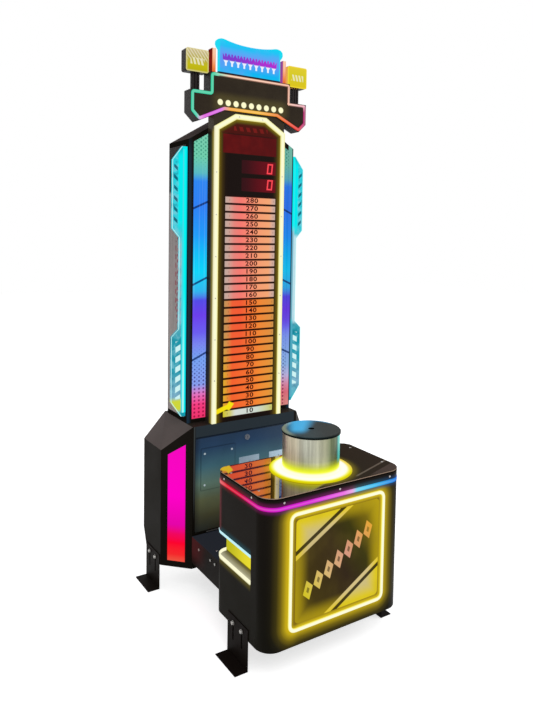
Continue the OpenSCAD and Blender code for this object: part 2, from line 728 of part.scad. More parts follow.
// rocker tilted one way, on two stub pins
module power_switch() color([0.5, 0.05, 0.05]) {
  translate([in_x, by1 - 4, in_z + 17]) rotate([8, 0, 0]) difference() {
    along_x(-7.5, 7.5) polygon([[-6, -5], [3, -9.5], [8, -10], [6.6, 0], [8, 10], [3, 9.5], [-6, 5]]);
    rod_x(-9, 9, 0, 0, pin_r - 0.5 + run_gap);
  }
}

module cash_box() color([0.4, 0.4, 0.42]) difference() {
  bx(-130, 130, by0 + 27, by0 + 217, ground + sheet, ground + sheet + 110);
  bx(-128, 128, by0 + 29, by0 + 215, ground + sheet + 2, ground + sheet + 111);
}

module power_supply() color([0.6, 0.62, 0.6]) difference() {
  x = bw - 35 - supply_w;
  z = ground + sheet;
  bx(x, x + supply_w, inner_y, inner_y + inner_d, z, z + 60);
  for (k = [0 : 6]) bx(x + 20 + 18 * k, x + 30 + 18 * k, inner_y - 1, inner_y + 4, z + 15, z + 45);
}

module control_board() color([0.05, 0.3, 0.15]) {
  translate([-bw + 35, inner_y, ground + sheet]) {
    for (x = [8, board_w - 8], y = [8, inner_d - 8]) translate([x, y, 0]) cylinder(r = 4, h = 12);
    bx(0, board_w, 0, inner_d, 12, 14);
    bx(20, 50, 20, 50, 14, 22);
    for (k = [0 : 4]) bx(65 + 20 * k, 78 + 20 * k, inner_d - 30, inner_d - 8, 14, 25);
    for (k = [0 : 3]) bx(75 + 22 * k, 78 + 22 * k, 15, 55, 14, 39);
  }
}

module target_sleeve() color([0.7, 0.69, 0.66]) {
  translate([0, ped_yc, slv_z]) difference() {
    cylinder(r = slv_r, h = slv_top - slv_z, $fn = fine);
    translate([0, 0, -1]) cylinder(r = slv_in, h = slv_top - slv_z - 5, $fn = fine);
    translate([0, 0, slv_top - slv_z - 7]) cylinder(r = 5, h = 8);
  }
}

module target_pad() color([0.1, 0.3, 0.5]) {
  r = slv_r + 3;
  translate([0, ped_yc, slv_top]) rotate_extrude($fn = fine)
    polygon([[12, 0], [r - 1, 0], [r, 1], [r, pad_t - 2.5], [r - 2.2, pad_t], [12, pad_t]]);
}

module pad_bolt() color([0.15, 0.15, 0.15]) {
  translate([0, ped_yc, slv_top]) cylinder(r = 11.5, h = pad_t - 4);
  translate([0, ped_yc, slv_top - 20]) cylinder(r = 4.7, h = 20.5);
}

module striker_plate() color([0.55, 0.55, 0.57]) {
  difference() {
    translate([0, ped_yc, plate_z]) cylinder(r = slv_in, h = plate_t, $fn = fine);
    at_posts(plate_z - 1) cylinder(r = bush_r, h = plate_t + 2);
  }
  bx(flag_x - 8, flag_x + 8, ped_yc - 1, ped_yc + 1, plate_z - 26, plate_z);
}

module guide_bushes() color([0.72, 0.55, 0.3]) {
  at_posts(bush_z) difference() {
    union() {
      cylinder(r = bush_r + 6, h = bush_rim);
      cylinder(r = bush_r, h = bush_h);
    }
    translate([0, 0, -1]) cylinder(r = post_r + run_gap, h = bush_h + 2);
  }
}

pedestal_shell();
notch_liners();
notch_panels();
notch_strips();
front_panel();
front_neon();
rgb_strip();
top_trim();
top_glass();
glow_ring();
screws();
deck_plate();
guide_posts();
post_springs();
bump_stops();
strike_sensor();
duct_box();
base_shell();
corner_windows();
column_shell();
column_rear_panel();
column_lights();
display_box();
display_frame();
display_glass();
scale_cells();
score_digits();
wings();
wing_bands();
side_panels();
marquee_box();
marquee_neon();
marquee_face();
sign_panel();
sign_bars();
head_blocks();
head_faces();
foot_brackets();
bolts();
door_hinge();
rear_hinge();
power_inlet();
cash_box();
power_supply();
control_board();
target_sleeve();
target_pad();
pad_bolt();
striker_plate();
guide_bushes();
front_door();
blanking_plate();
coin_plates();
coin_mechs();
coin_button_left();
coin_button_right();
door_lock();
rear_door();
rear_lock();
power_switch();
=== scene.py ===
"""Looks of the strength tester arcade machine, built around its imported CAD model.

Lengths and places are in millimetres, and turn into the frame's metres in Paint and add_mesh.
Colours are (red, green, blue) as seen on screen, 0 to 255.
"""
import json
import math

import bpy
import bmesh
from mathutils import Matrix, Vector


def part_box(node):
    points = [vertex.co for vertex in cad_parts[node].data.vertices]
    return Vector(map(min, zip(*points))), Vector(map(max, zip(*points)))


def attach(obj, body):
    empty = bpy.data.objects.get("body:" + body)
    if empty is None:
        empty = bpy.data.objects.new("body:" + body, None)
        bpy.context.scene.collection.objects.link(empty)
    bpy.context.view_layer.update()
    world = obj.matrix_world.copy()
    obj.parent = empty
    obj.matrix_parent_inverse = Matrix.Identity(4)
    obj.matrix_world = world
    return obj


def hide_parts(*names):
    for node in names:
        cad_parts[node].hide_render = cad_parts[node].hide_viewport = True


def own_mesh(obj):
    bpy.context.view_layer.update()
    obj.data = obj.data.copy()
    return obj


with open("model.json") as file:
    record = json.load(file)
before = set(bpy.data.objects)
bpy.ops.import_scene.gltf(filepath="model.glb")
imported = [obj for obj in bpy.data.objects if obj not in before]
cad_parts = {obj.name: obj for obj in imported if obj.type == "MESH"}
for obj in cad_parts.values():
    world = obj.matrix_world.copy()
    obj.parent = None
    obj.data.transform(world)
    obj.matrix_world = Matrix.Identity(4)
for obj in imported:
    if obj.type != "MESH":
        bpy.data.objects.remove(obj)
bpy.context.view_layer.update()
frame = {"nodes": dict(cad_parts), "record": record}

MM = 0.001
BLACK = (0, 0, 0)
WHITE = (255, 255, 255)


# Places, from the CAD frame

class Box:
    """The box round a node."""

    def __init__(self, name):
        low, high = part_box(name)
        self.low = low / MM
        self.high = high / MM
        self.mid = (self.low + self.high) / 2
        self.half = (self.high - self.low) / 2


PED = Box("pedestal_shell")
PED_TOP = Box("top_glass").high.z
NEON = Box("front_neon")
DISPLAY = Box("display_frame")
CELLS = Box("scale_cells")
COLUMN = Box("column_shell")
LIGHTS = Box("column_lights")
WINGS = Box("wings")
MARQUEE = Box("marquee_box")
SIGN = Box("sign_panel")
FACES = Box("head_faces")
DOOR = Box("front_door")
BASE = Box("base_shell")
RECESS = Box("notch_liners")
TARGET_R = Box("target_sleeve").high.x
RING_R = Box("glow_ring").high.x
CELL_COUNT = 28
CELL_PITCH = 34.2
CELL_TALL = 30
LIGHTS_INNER = LIGHTS.high.x - 65
FRONT_TUBE_DEPTH = 6


def node(name):
    return frame["nodes"][name]


# Camera: solved from the printed sizes and the object's corners in the photograph

CAMERA_AT = (-1453.4, -2243.5, 1536.1)
CAMERA_YAW = -32.505
CAMERA_PITCH = -3.292
CAMERA_ROLL = 0.882
LENS = 32.84
SHIFT_Y = -0.118


def make_camera():
    data = bpy.data.cameras.new("camera")
    data.sensor_width = 36
    data.lens = LENS
    data.shift_y = SHIFT_Y
    turn = Matrix.Translation(Vector(CAMERA_AT) * MM)
    for angle, axis in ((CAMERA_YAW, "Z"), (90 + CAMERA_PITCH, "X"), (CAMERA_ROLL, "Z")):
        turn = turn @ Matrix.Rotation(math.radians(angle), 4, axis)
    camera = place_object("camera", data)
    camera.matrix_world = turn
    bpy.context.scene.camera = camera


# Materials: a small wrapper round a node tree

def linear(colour):
    """Screen colour to the linear values of a shader."""
    parts = [v / 255 for v in colour]
    return (*(v / 12.92 if v <= 0.04045 else ((v + 0.055) / 1.055) ** 2.4 for v in parts), 1)


def operation(kind):
    """A method of Value that adds one Math node."""
    return lambda self, *others: self.tree.math(kind, self, *others)


class Value:
    """A number or colour inside a material: arithmetic on it adds Math nodes."""

    def __init__(self, tree, socket):
        self.tree = tree
        self.socket = socket

    __add__ = __radd__ = operation("ADD")
    __sub__ = operation("SUBTRACT")
    __mul__ = __rmul__ = operation("MULTIPLY")
    __truediv__ = operation("DIVIDE")
    __abs__ = operation("ABSOLUTE")
    max = operation("MAXIMUM")
    min = operation("MINIMUM")
    root = operation("SQRT")
    sine = operation("SINE")
    angle = operation("ARCTAN2")

    def __rsub__(self, other):
        return self.tree.math("SUBTRACT", other, self)

    def wrap(self, period):
        """Distance from the nearest whole multiple of period, signed."""
        return self.tree.math("WRAP", self, period / 2, -period / 2)

    def ease(self, start, end, low=0.0, high=1.0):
        """low at start, high at end, smooth between; start may be above end."""
        inputs = enumerate((self, start, end, low, high))
        return self.tree.make("MapRange", *inputs, interpolation_type="SMOOTHSTEP")

    def band(self, start, end, soft):
        """1 from start to end, with soft edges."""
        return self.ease(start - soft, start + soft) * self.ease(end + soft, end - soft)

    def mix(self, first, second):
        """The first colour where the value is 0, the second where it is 1."""
        return self.tree.blend(self, first, second)

    def ramp(self, *stops):
        """Colours along the value; each stop is a place and its colour's three numbers."""
        first, last = stops[0][0], stops[-1][0]
        colours = self.tree.make("ValToRGB", (0, (self - first) / (last - first)))
        points = colours.socket.node.color_ramp.elements
        while len(points) < len(stops):
            points.new(0.5)
        for point, (at, *colour) in zip(points, stops):
            point.position = (at - first) / (last - first)
            point.color = linear(colour)
        return colours


class Tree:
    """A node tree, with short ways to add to it."""

    def __init__(self, tree):
        self.tree = tree

    def link(self, target, value):
        """Gives a socket a Value, a number or a screen colour."""
        if isinstance(value, Value):
            self.tree.links.new(value.socket, target)
        else:
            target.default_value = linear(value) if isinstance(value, tuple) else value

    def make(self, kind, *inputs, output=0, **settings):
        """A new node's output; each input is a socket and what it gets."""
        made = self.tree.nodes.new("ShaderNode" + kind)
        for name, value in settings.items():
            setattr(made, name, value)
        for socket, value in inputs:
            self.link(made.inputs[socket], value)
        return Value(self, made.outputs[output])

    def math(self, kind, *values):
        return self.make("Math", *enumerate(values), operation=kind)

    def rays(self, kind, *others):
        """1 for these kinds of ray, 0 for the others."""
        path = self.make("LightPath").socket.node
        seen = Value(self, path.outputs[f"Is {kind} Ray"])
        for other in others:
            seen = seen.max(Value(self, path.outputs[f"Is {other} Ray"]))
        return seen


class Paint(Tree):
    """A procedural material on the object's own coordinates."""

    def __init__(self, name, spec=0.0, rough=0.5, metal=0.0):
        self.material = bpy.data.materials.new(name)
        self.material.use_nodes = True
        super().__init__(self.material.node_tree)
        self.shader = self.tree.nodes["Principled BSDF"]
        self.where = self.tree.nodes.new("ShaderNodeTexCoord")
        self.put("Base Color", BLACK)
        self.put("Specular IOR Level", spec)
        self.put("Roughness", rough)
        self.put("Metallic", metal)

    def put(self, socket, value):
        self.link(self.shader.inputs[socket], value)
        return self

    def parts(self, output):
        split = self.make("SeparateXYZ", (0, Value(self, self.where.outputs[output])))
        return [Value(self, out) for out in split.socket.node.outputs]

    def xyz(self):
        """Place on the object."""
        return [part / MM for part in self.parts("Object")]

    def facing(self):
        """The surface normal's parts along the object's own axes."""
        return self.parts("Normal")

    def noise(self, scale, stretch=(1, 1, 1), detail=3.0, rough=0.5):
        """Soft noise of scale patches a metre, from 0 to 1."""
        place = Value(self, self.where.outputs["Object"])
        place = self.make("Mapping", ("Vector", place), ("Scale", Vector(stretch)))
        inputs = ("Vector", place), ("Scale", scale), ("Detail", detail), ("Roughness", rough)
        return self.make("TexNoise", *inputs)

    def blend(self, factor, first, second, kind="MIX"):
        inputs = (0, factor), (6, first), (7, second)
        return self.make("Mix", *inputs, output=2, data_type="RGBA", blend_type=kind, clamp_factor=True)

    def times(self, colour, other):
        return self.blend(1, colour, other, "MULTIPLY")

    def over(self, colour, *layers):
        """A colour with layers over it, each a factor and a colour."""
        for factor, layer in layers:
            colour = self.blend(factor, colour, layer)
        return colour

    def bump(self, height, distance, strength):
        inputs = ("Distance", distance * MM), ("Strength", strength), ("Height", height)
        return self.put("Normal", self.make("Bump", *inputs))

    def lit(self, colour, *layers, strength=1.0):
        """Makes the surface give off a colour with layers over it."""
        self.put("Emission Color", self.over(colour, *layers))
        return self.put("Emission Strength", strength)

    def grain(self, colour, rough, *layers, spread=0.12):
        """Fine variation of colour and gloss, with layers over it."""
        cloud = self.noise(6, detail=4)
        fine = self.noise(900, detail=2)
        tone = (cloud * 0.7 + fine * 0.3).ease(0.25, 0.75, 1 - spread, 1 + spread)
        self.put("Base Color", self.over(self.times(colour, tone), *layers))
        gloss = (cloud * 0.5 + fine * 0.5).ease(0.3, 0.7, rough * 0.82, rough * 1.18)
        self.put("Roughness", gloss)
        return self.bump(fine, 0.03, 0.6)

    def brush(self, colour, along, tones, gloss):
        """The colour with scratches along one axis, which change the gloss too."""
        stretch = tuple(0.02 if axis == along else 1.0 for axis in range(3))
        streak = self.noise(420, stretch, detail=5, rough=0.7)
        broad = self.noise(60, stretch, detail=2)
        tone = (streak * 0.6 + broad * 0.4).ease(*tones)
        self.put("Roughness", streak.ease(0.3, 0.7, *gloss))
        self.bump(streak, 0.06, 0.5)
        return self.times(colour, tone)


def length(x, y):
    return (x * x + y * y).root()


def rounded_box(x, z, half_x, half_z, radius):
    """Signed distance from a rounded rectangle's edge; x and z from its middle."""
    dx = abs(x) - (half_x - radius)
    dz = abs(z) - (half_z - radius)
    return length(dx.max(0), dz.max(0)) + dx.max(dz).min(0) - radius


def plain(name, colour, rough, metal=0.0, spec=0.5):
    return Paint(name, spec, rough, metal).grain(colour, rough)


WRITERS = []


def paints(name, *nodes, **sockets):
    """Marks the function that writes the material called name of some nodes."""
    def mark(write):
        WRITERS.append((Paint(name, **sockets), write, nodes))
        return write
    return mark


# Materials of the shells

def black(paint, z):
    return z.ease(100, 700).mix((22, 19, 14), (29, 25, 21))


def shell(paint, z, slope):
    """Black, with painted highlight colours on the faces that turn upwards: one where the shell slopes,
    another where it lies level.
    """
    up = paint.facing()[2]
    return paint.over(black(paint, z), (up.ease(0.25, 0.4), slope), (up.ease(0.9, 0.97), (52, 52, 46)))


@paints("black_shell", *frame["nodes"], spec=0.02)
def every_other(paint, x, y, z):
    """Black of all that has no other material."""
    paint.grain(black(paint, z), 0.45)


@paints("base_black", "base_shell", spec=0.02)
def base(paint, x, y, z):
    """Black, with a painted brown-grey highlight on its shoulders, dimmer on its front and back slopes, a
    painted blue-grey glow above the door and a painted highlight along the door's left jamb.
    """
    sideways, ahead, up = paint.facing()
    # slope: the front and back slopes, where the painted highlight is dimmer
    slope = up.ease(0.25, 0.35) * abs(sideways).ease(0.3, 0.2)
    paint.grain(shell(paint, z, (98, 88, 86)), 0.5, (slope, (44, 42, 36)))
    front = ahead.ease(-0.7, -0.9)
    # Painted light: a blue-grey glow above the door and a highlight along its left jamb.
    above = z.ease(DOOR.high.z - 2, DOOR.high.z) * abs(x).ease(256, 248) * front
    jamb = abs(x + 257).ease(4, 2) * front * z.ease(300, 500)
    paint.lit(BLACK, (above, (30, 42, 50)), (jamb * 0.5, (70, 78, 80)))


@paints("pedestal_black", "pedestal_shell", spec=0.02)
def pedestal(paint, x, y, z):
    """Black, with the light of the front tube, strip and recess on it."""
    paint.grain(z.ease(100, 600).mix((22, 20, 13), (28, 24, 20)), 0.45)
    away = rounded_box(x, z - NEON.mid.z, NEON.half.x, NEON.half.z, 32) - x.ease(-160, -220) * 8
    glow = away.ramp(
        (-30, 128, 104, 12), (-17, 206, 180, 20), (0, 196, 168, 14), (10, 160, 138, 10),
        (24, 108, 92, 6), (40, 54, 46, 4), (60, 16, 13, 2), (80, 0, 0, 0))
    near = rounded_box(y - RECESS.mid.y, z - RECESS.mid.z, RECESS.half.y, RECESS.half.z, 10)
    side = abs(x).ease(PED.high.x - 5, PED.high.x - 1) * y.ease(RECESS.low.y - 2, RECESS.low.y + 8)
    below = side * z.ease(RECESS.mid.z, RECESS.mid.z - 45)
    above = near.ease(24, 0) * side * z.ease(RECESS.mid.z, RECESS.mid.z + 45)
    strip = z.ease(PED.high.z - 18, PED.high.z)
    # back_edge: a painted red glow along the back edge
    back_edge = y.ease(PED.high.y - 56, PED.high.y - 34) * z.ease(400, 460)
    paint.lit(
        BLACK, (y.ease(PED.low.y + 30, PED.low.y + 2), glow),
        (near.ease(30, 0) * below * 0.8, (92, 82, 12)),
        (near.ease(4, 1) * below * 0.7, (250, 246, 200)),
        (above * 0.8, (8, 62, 72)),
        (strip * 0.7, paint.times(strip_colour(x, y), (116, 116, 116))),
        (back_edge * 0.7, (98, 34, 42)))


@paints("column_black", "column_shell")
def column(paint, x, y, z):
    """Black, with painted highlights on its upward faces, a painted navy glow beside the left light and a
    painted glow in the light's own colours beside the right one.
    """
    paint.grain(shell(paint, z, (84, 75, 73)), 0.5)
    front = paint.facing()[1].ease(-0.7, -0.9)
    # Painted glow: navy beside the left light, the light's own colours beside the right one.
    outer = abs(x).ease(243, 258) * front * z.ease(1960, 1850)
    glow = x.band(LIGHTS.high.x - 2, 260, 1) * front * z.band(LIGHTS.low.z, LIGHTS.high.z, 2)
    paint.lit(BLACK, (outer, (12, 38, 54)), (glow, rainbow(paint, x, z)))


@paints("duct_black", "duct_box", spec=0.02)
def duct(paint, x, y, z):
    """Black, with painted red light of the corner window at its rear and a painted blue-grey highlight on
    its top.
    """
    paint.grain((26, 22, 19), 0.4)
    near = y.ease(30, 170) * z.ease(130, 200)
    # Painted highlight on the top face.
    top = paint.facing()[2].ease(0.4, 0.6)
    paint.lit(BLACK, (near * 0.8, (66, 18, 22)), (top, (28, 32, 40)))


@paints("display_box_black", "display_box", spec=0.08)
def display_box(paint, x, y, z):
    """Black, with the painted glow of the lit frame on it: olive near the frame, fading to dark, and dim
    brown at the top, under the marquee.
    """
    paint.grain((24, 22, 14), 0.45)
    near = y.ease(DISPLAY.high.y + 34, DISPLAY.high.y)
    glow = near.ramp((0, 14, 14, 14), (0.35, 44, 38, 18), (0.75, 104, 92, 34), (1, 146, 132, 52))
    paint.lit(glow, (z.ease(1955, 1985), (42, 34, 22)))


@paints("block_dark", "head_blocks", spec=0.1)
def head_blocks(paint, x, y, z):
    """Dark, with the painted orange glow of the light bar on the right block's side that faces it."""
    paint.grain((40, 34, 34), 0.45)
    # Painted glow of the light bar on the right block's inner side.
    inner = paint.facing()[0].ease(-0.6, -0.9) * x.ease(100, 120) * z.ease(FACES.low.z - 3, FACES.low.z)
    paint.lit(BLACK, (inner, (226, 160, 70)))


# Materials of the door and the top plate

@paints("door_gloss", "front_door", "blanking_plate", spec=0.15)
def door(paint, x, y, z):
    """Blue-black gloss with painted light on it, greener and paler low down, dark inside; a painted
    highlight along its bottom edge and painted glints on the blanking plate's screw heads.
    """
    plate = Box("blanking_plate")
    rim = rounded_box(x - plate.mid.x, z - plate.mid.z, plate.half.x, plate.half.z, 3)
    # Painted light on the door, greener and paler low down; darkened, it is mixed into the door's colour
    # too.
    painted_door_light = paint.over(
        z.ramp((150, 24, 23, 17), (270, 42, 40, 28), (330, 66, 64, 42), (400, 92, 96, 66),
               (470, 96, 122, 108), (540, 64, 102, 114), (620, 42, 68, 98), (680, 38, 58, 86)),
        (paint.noise(5).ease(0.35, 0.75) * 0.35, (28, 50, 62)),
        (z.ease(DOOR.high.z - 6, DOOR.high.z - 3) * 0.8, (12, 18, 24)),
        (abs(x).ease(DOOR.high.x - 26, DOOR.high.x) * 0.5, (22, 24, 26)))
    paint.grain(paint.over(painted_door_light, (0.6, BLACK)), 0.3, spread=0.1)
    # heads: the blanking plate's screw heads, made metallic and given a painted glint.
    heads = y.ease(plate.low.y + 1.6, plate.low.y + 1.2) * x.ease(-54, -58)
    paint.put("Metallic", heads)
    paint.lit(
        painted_door_light,
        (abs(rim).ease(3, 1) * 0.55, (10, 18, 26)),
        # Painted highlight along the door's bottom edge.
        (z.ease(DOOR.low.z + 6, DOOR.low.z + 3) * 0.8, (128, 130, 116)),
        (0.35, BLACK),
        (paint.facing()[1].ease(0.5, 0.9), (8, 8, 9)),
        (heads, (160, 172, 178)))


@paints("coin_plate", "coin_plates", spec=0.5, metal=1.0)
def coin_plates(paint, x, y, z):
    """Pale brushed steel that catches the display's light."""
    steel = paint.brush((150, 168, 180), 0, (0.3, 0.7, 0.62, 1.1), (0.32, 0.52))
    paint.put("Base Color", steel).lit((104, 122, 134))


@paints("top_gloss", "top_glass")
def top_plate(paint, x, y, z):
    """Black gloss: a painted reflection at the left, made metallic, with a painted purple glow along its
    left side; satin at the right, with a painted reflection patch and a grey line; a painted highlight
    along the top edge of its sides and the ring's painted halo.
    """
    level = paint.facing()[2].ease(0.4, 0.6)
    lean = (y + 448.7) - (x - 96.5) * 0.35
    line = abs(lean).ease(6, 3) * x.ease(90, 110)
    # patch: a painted reflection on the satin
    patch = (lean + 34).ease(2, -2) * x.ease(120, 200)
    satin = paint.over((60, 51, 43), (patch * 0.8, (94, 80, 74)), (line * 0.8, (128, 114, 102)))
    ahead = ((y + 400) * -1).max(0) * 2.4
    mirror = (x + ahead).ease(80, 45) * level
    # side: dark, with a painted highlight along its top edge
    side = z.ease(PED_TOP - 3.2, PED_TOP - 2).mix((20, 16, 15), (176, 150, 130))
    aside = x + PED.high.x - (y - PED.low.y) * 0.644
    # tone: colour of the painted reflection
    tone = aside.ease(20, 50).mix((212, 188, 180), (150, 138, 132))
    fine = paint.noise(500, detail=2)
    dull, clear = fine.ease(0.3, 0.7, 0.24, 0.34), fine.ease(0.3, 0.7, 0.02, 0.04)
    paint.put("Base Color", paint.over(side, (level, satin), (mirror, tone)))
    paint.put("Metallic", mirror)
    paint.put("Roughness", mirror.mix(dull, clear))
    halo = length(x, y - PED.mid.y).ease(205, 150) * level
    paint.lit(BLACK, (mirror * aside.ease(0, -20), (40, 16, 36)), (halo * halo, (112, 100, 8)))


def strip_colour(x, y):
    """Colours round the pedestal's top, by direction from its middle."""
    degrees = x.angle(PED.mid.y - y) * (180 / math.pi)
    return degrees.ramp(
        (-180, 236, 60, 60), (-128, 250, 214, 204), (-118, 236, 120, 124), (-106, 226, 24, 50),
        (-88, 220, 12, 76), (-72, 220, 22, 150), (-56, 214, 30, 206), (-36, 222, 46, 218),
        (-10, 232, 92, 230), (6, 236, 112, 226), (18, 234, 170, 230), (24, 120, 218, 240),
        (42, 70, 196, 244), (58, 40, 124, 226), (100, 40, 90, 230), (140, 130, 60, 230),
        (180, 236, 60, 60))


@paints("strip_lit", "rgb_strip")
def strip(paint, x, y, z):
    """Paler along its middle, darker at its edges."""
    off = abs(z - Box("rgb_strip").mid.z)
    colour = strip_colour(x, y)
    dim = paint.times(colour, (190, 150, 190))
    paint.lit(colour, (off.ease(4, 7) * 0.3, dim), (off.ease(4.5, 0) * 0.08, WHITE))


@paints("trim_black", "top_trim", spec=0.02)
def trim(paint, x, y, z):
    """Black, with the painted glow of the strip under it, in the strip's colours."""
    trim = Box("top_trim")
    paint.grain((27, 23, 19), 0.35)
    spill = paint.times(strip_colour(x, y), (118, 104, 104))
    paint.lit(BLACK, (z.ease(trim.high.z - 4, trim.low.z) * 0.8, spill))


# Materials of the target

@paints("ring_lit", "glow_ring")
def ring(paint, x, y, z):
    """Nearly white, yellow towards its outer edge."""
    share = (length(x, y - PED.mid.y) - TARGET_R) / (RING_R - TARGET_R)
    colour = share.ramp(
        (0, 255, 255, 222), (0.14, 255, 255, 236), (0.34, 255, 255, 246), (0.56, 255, 255, 236),
        (0.74, 250, 248, 110), (0.88, 236, 230, 20), (1, 212, 202, 8))
    paint.lit(colour, (x.ease(90, 150) * share.ease(0.5, 0.8) * 0.6, (240, 196, 100)))


@paints("sleeve_steel", "target_sleeve", spec=0.5, metal=1.0)
def sleeve(paint, x, y, z):
    """Brushed, with painted shade from its pale left to its dark right; painted light makes it yellow at
    its foot, in its colour and its glow, and teal at its right edge.
    """
    across = (x * 0.85 - (y - PED.mid.y) * 0.53) / TARGET_R
    up = z - PED_TOP
    # Painted highlight and shade across the sleeve: pale at the left, dark at the right.
    steel = across.ramp(
        (-1, 184, 170, 146), (-0.84, 190, 178, 154), (-0.62, 194, 186, 162), (-0.3, 190, 192, 176),
        (0.02, 180, 180, 162), (0.4, 160, 160, 134), (0.62, 108, 118, 88), (0.78, 112, 124, 98),
        (0.88, 60, 88, 82), (1, 60, 88, 82))
    steel = paint.brush(steel, 2, (0.34, 0.66, 0.6, 1.14), (0.29, 0.46))
    # Painted yellow light at the foot, also in the colour.
    paint.put("Base Color", paint.over(steel, (up.ease(60, 20), (86, 88, 4))))
    glow = up.ramp(
        (-40, 255, 255, 236), (12, 255, 255, 226), (20, 240, 246, 70), (30, 206, 216, 14),
        (44, 140, 146, 20), (60, 60, 64, 14), (85, 0, 0, 0))
    paint.lit(glow, (across.ease(0.82, 0.92) * up.ease(30, 60) * 0.9, (66, 186, 176)))


@paints("pad_top", "target_pad", spec=0.02)
def pad(paint, x, y, z):
    """Dark, with a painted blue reflection on its left half and at its back edge, a painted highlight on
    the left of its rim, painted shade darkening its top towards the right, and fine turned rings.
    """
    level = paint.facing()[2].ease(0.4, 0.6)
    deep = y - PED.mid.y
    away = length(x, deep)
    across = (x * 0.85 - deep * 0.53) / TARGET_R
    back = (x * 0.53 + deep * 0.85) / TARGET_R
    # sheen and edge: the painted blue reflection
    sheen = (abs(across + 0.44 - back * 0.12) / (back * 0.16 + 0.42).max(0.1)).ease(1.2, 0.2)
    edge = away.ease(TARGET_R - 14, TARGET_R - 6) * back.ease(0.5, 0.8) * 0.5
    blue = (sheen * back.ease(-0.8, -0.05)).max(edge)
    # rim: a painted highlight on the left of the rim; the top darkens towards the right in painted shade.
    rim = away.ease(TARGET_R - 22, TARGET_R - 6) * across.ease(-0.5, -0.9)
    top = paint.over((60, 76, 80), (across.ease(-0.3, 0.6), (46, 52, 50)), (rim, (150, 164, 142)))
    paint.grain(paint.over((10, 20, 22), (level, top)), 0.4, spread=0.06)
    paint.bump((away * 1.4).sine(), 0.1, 0.3)
    paint.lit(BLACK, (blue * level, (44, 160, 214)))


# Materials of the pedestal's front and recess

def tube_paint():
    """Front tube: pale along its front, more saturated towards its back."""
    paint = Paint("front_tube_lit")
    out = (NEON.high.y - paint.xyz()[1]) / FRONT_TUBE_DEPTH
    return paint.lit((250, 236, 90), (out.ease(0.3, 0.95), (255, 255, 222)))


@paints("front_print", "front_panel", spec=0.02)
def front_panel(paint, x, y, z):
    """Gold, given off as light, with the painted glow of the front tube yellowing it near its rim; a dark
    band between stripes and a row of diamonds.
    """
    v = z - Box("front_panel").mid.z
    across = (v - x * 0.57) * 0.869
    along = (x + v * 0.57) * 0.869
    rim = rounded_box(x, v, 188, 184, 14)
    # side: where the painted glow of the front tube yellows the panel near its rim
    side = rim.ease(-60, 0)
    dark = along.ramp(
        (-240, 104, 88, 8), (-150, 64, 52, 14), (0, 48, 35, 20), (100, 56, 52, 10),
        (170, 112, 96, 10), (240, 172, 150, 18))
    lean = along - across * 0.35
    reach = abs(lean.wrap(52)) + abs(across) * 0.7
    gem = reach.ease(25, 23.4) * reach.ease(7, 9).max(0.3) * abs(lean).ease(184, 182)
    gem_tone = along.ramp(
        (-170, 206, 190, 40), (-60, 210, 176, 116), (40, 214, 150, 126), (170, 226, 162, 56))
    colour = paint.over(
        (200, 184, 124),
        # Painted glow of the front tube near the rim.
        (rim.ease(-66, -4), (216, 194, 30)),
        (abs(across).ease(130, 127), paint.over(dark, (side * 0.75, (178, 154, 16)))),
        (abs(abs(across) - 135).ease(7, 5), side.mix((206, 186, 130), (222, 196, 50))),
        (abs(abs(across) - 151).ease(8, 6) * 0.95, (36, 26, 5)),
        (gem, gem_tone),
        (paint.noise(8).ease(0.4, 0.75) * 0.15, (120, 104, 40)))
    paint.grain(paint.over(colour, (0.85, BLACK)), 0.35, spread=0.05)
    paint.lit(colour, strength=0.95)


@paints("recess_yellow", "notch_panels")
def recess_panels(paint, x, y, z):
    """Yellow, dark along its top and foot."""
    panel = Box("notch_panels")
    share = (y - panel.low.y) / (2 * panel.half.y)
    shade = (z - panel.high.z + share * 34).ease(-7, 6)
    paint.lit(
        (232, 218, 50),
        (share.ease(0.3, 1), (190, 186, 34)),
        (shade * 0.9, (46, 46, 42)),
        (z.ease(panel.low.z + 7, panel.low.z + 3) * 0.85, (84, 70, 8)))


@paints("recess_strip", "notch_strips")
def recess_strips(paint, x, y, z):
    """Cyan white above, yellow white at the ledge."""
    paint.lit((255, 252, 214), (z.ease(RECESS.mid.z - 20, RECESS.mid.z + 20), (196, 242, 250)))


@paints("recess_metal", "notch_liners", spec=0.1, rough=0.4)
def liners(paint, x, y, z):
    """Brushed, with painted light on it: bright outside and dark yellow inside."""
    streak = paint.noise(260, (1, 0.03, 1), detail=4, rough=0.7)
    paint.put("Base Color", streak.ease(0.35, 0.7).mix((64, 58, 40), (112, 106, 84)))
    # Painted light: dim yellow along the streaks, bright on the outer part.
    paint.lit((60, 56, 26), (streak, (96, 90, 56)), (abs(x).ease(262, 312), (176, 174, 150)))


# Materials of the tower's lights and prints

